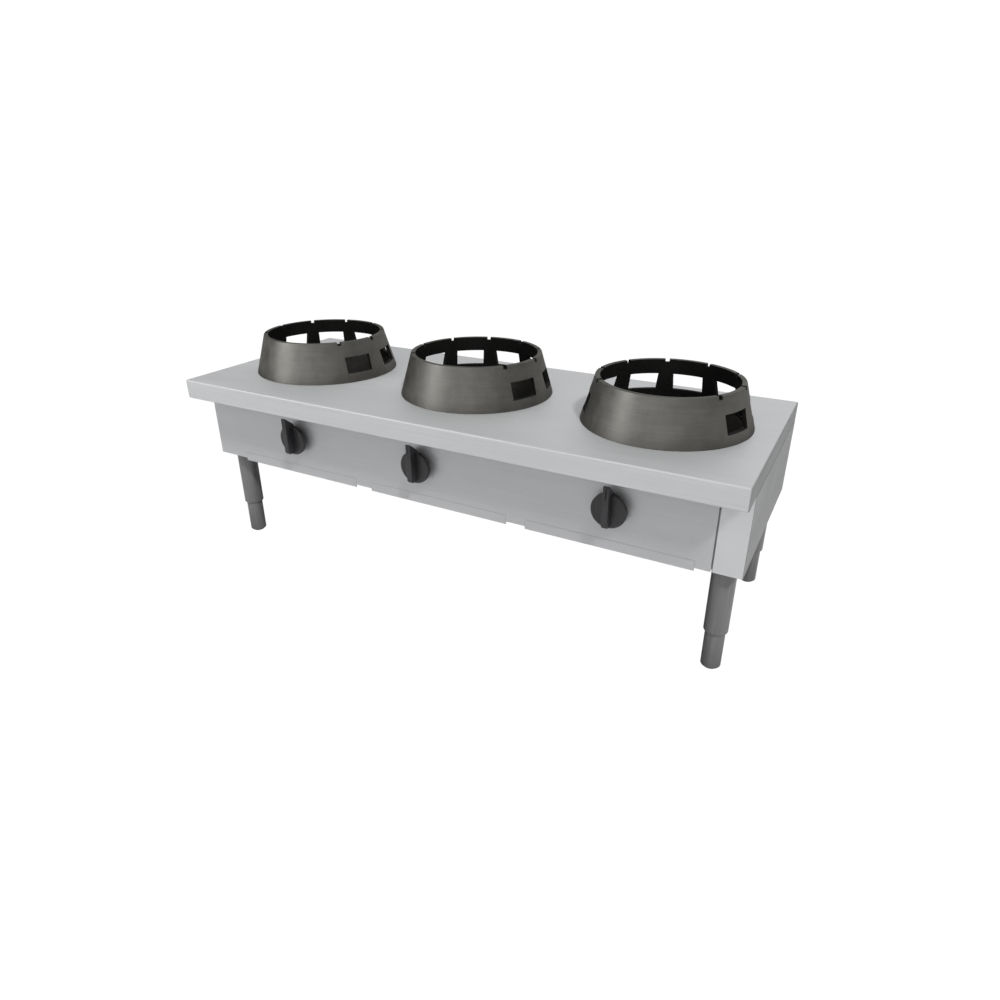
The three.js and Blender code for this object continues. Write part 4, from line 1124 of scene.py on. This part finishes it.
def make_stage():
    mesh = bpy.data.meshes.new("studio_floor")
    reach = 60.0
    ground = [(x, y, 0) for x, y in rectangle(-reach, reach, -reach, reach)]
    mesh.from_pydata(ground, [], [(0, 1, 2, 3)])
    s = Shader("studio_floor", FLOOR_GREY, 0.9)
    # Painted shade: in the light it throws, the floor is near black below the range and grey beyond
    # it.
    off_x = s.span(s.math("ABSOLUTE", s.axis("X")), *WHOLE, BELOW_X)
    off_y = s.span(s.math("ABSOLUTE", s.axis("Y")), *WHOLE, BELOW_Y)
    s.color(s.ramp(s.math("MAXIMUM", off_x, off_y), FLOOR_PAINTED_SHADE, FLOOR_GREY, WHOLE))
    s.fix("Specular IOR Level", 0.0)
    white_to_camera(s.tree, s.shader.outputs["BSDF"], s.tree.nodes["Material Output"])
    mesh.materials.append(s.material)
    floor = bpy.data.objects.new("studio_floor", mesh)
    floor.location.z = -0.0005
    scene.collection.objects.link(floor)


def make_world():
    world = bpy.data.worlds.new("studio")
    scene.world = world
    world.use_nodes = True
    tree = world.node_tree
    background = tree.nodes["Background"]
    background.inputs["Color"].default_value = (*WHITE, 1)
    place = tree.nodes.new("ShaderNodeTexCoord")
    split = tree.nodes.new("ShaderNodeSeparateXYZ")
    tree.links.new(place.outputs["Generated"], split.inputs["Vector"])
    strength = None
    for axis, source, target in STUDIO:
        factor = map_range(tree, split.outputs[axis], source, target)
        if strength:
            product = tree.nodes.new("ShaderNodeMath")
            product.operation = "MULTIPLY"
            tree.links.new(strength, product.inputs[0])
            tree.links.new(factor, product.inputs[1])
            factor = product.outputs["Value"]
        strength = factor
    tree.links.new(strength, background.inputs["Strength"])
    white_to_camera(tree, background.outputs["Background"], tree.nodes["World Output"])


def add_lamp(light, toward):
    """A lamp that shines from the side that the vector points to."""
    lamp = bpy.data.objects.new(light.name, light)
    lamp.rotation_euler = Vector(toward).to_track_quat("Z", "Y").to_euler()
    scene.collection.objects.link(lamp)
    return lamp


def make_lamps():
    """A soft sun that leaves no glint, and a broad panel that adds only sheen."""
    key = bpy.data.lights.new("key", "SUN")
    key.energy = KEY_POWER
    key.angle = math.radians(KEY_ANGLE)
    add_lamp(key, KEY_TOWARD).visible_glossy = False
    fill = bpy.data.lights.new("fill", "AREA")
    fill.shape = "RECTANGLE"
    fill.size, fill.size_y = FILL_SIZE
    fill.energy = FILL_POWER
    panel = add_lamp(fill, FILL_PLACE - FILL_AIM)
    panel.location = FILL_PLACE
    panel.visible_diffuse = False


def make_camera():
    camera = bpy.data.cameras.new("photo_camera")
    camera.lens = CAMERA_LENS
    camera.sensor_width = 36.0
    camera.clip_end = 200.0
    rig = bpy.data.objects.new("photo_camera", camera)
    rig.location = CAMERA_PLACE
    rig.rotation_euler = (math.radians(CAMERA_TILT), 0.0, math.radians(CAMERA_TURN))
    scene.collection.objects.link(rig)
    scene.camera = rig


make_stage()
make_world()
make_lamps()
make_camera()
scene.view_settings.view_transform = "Standard"
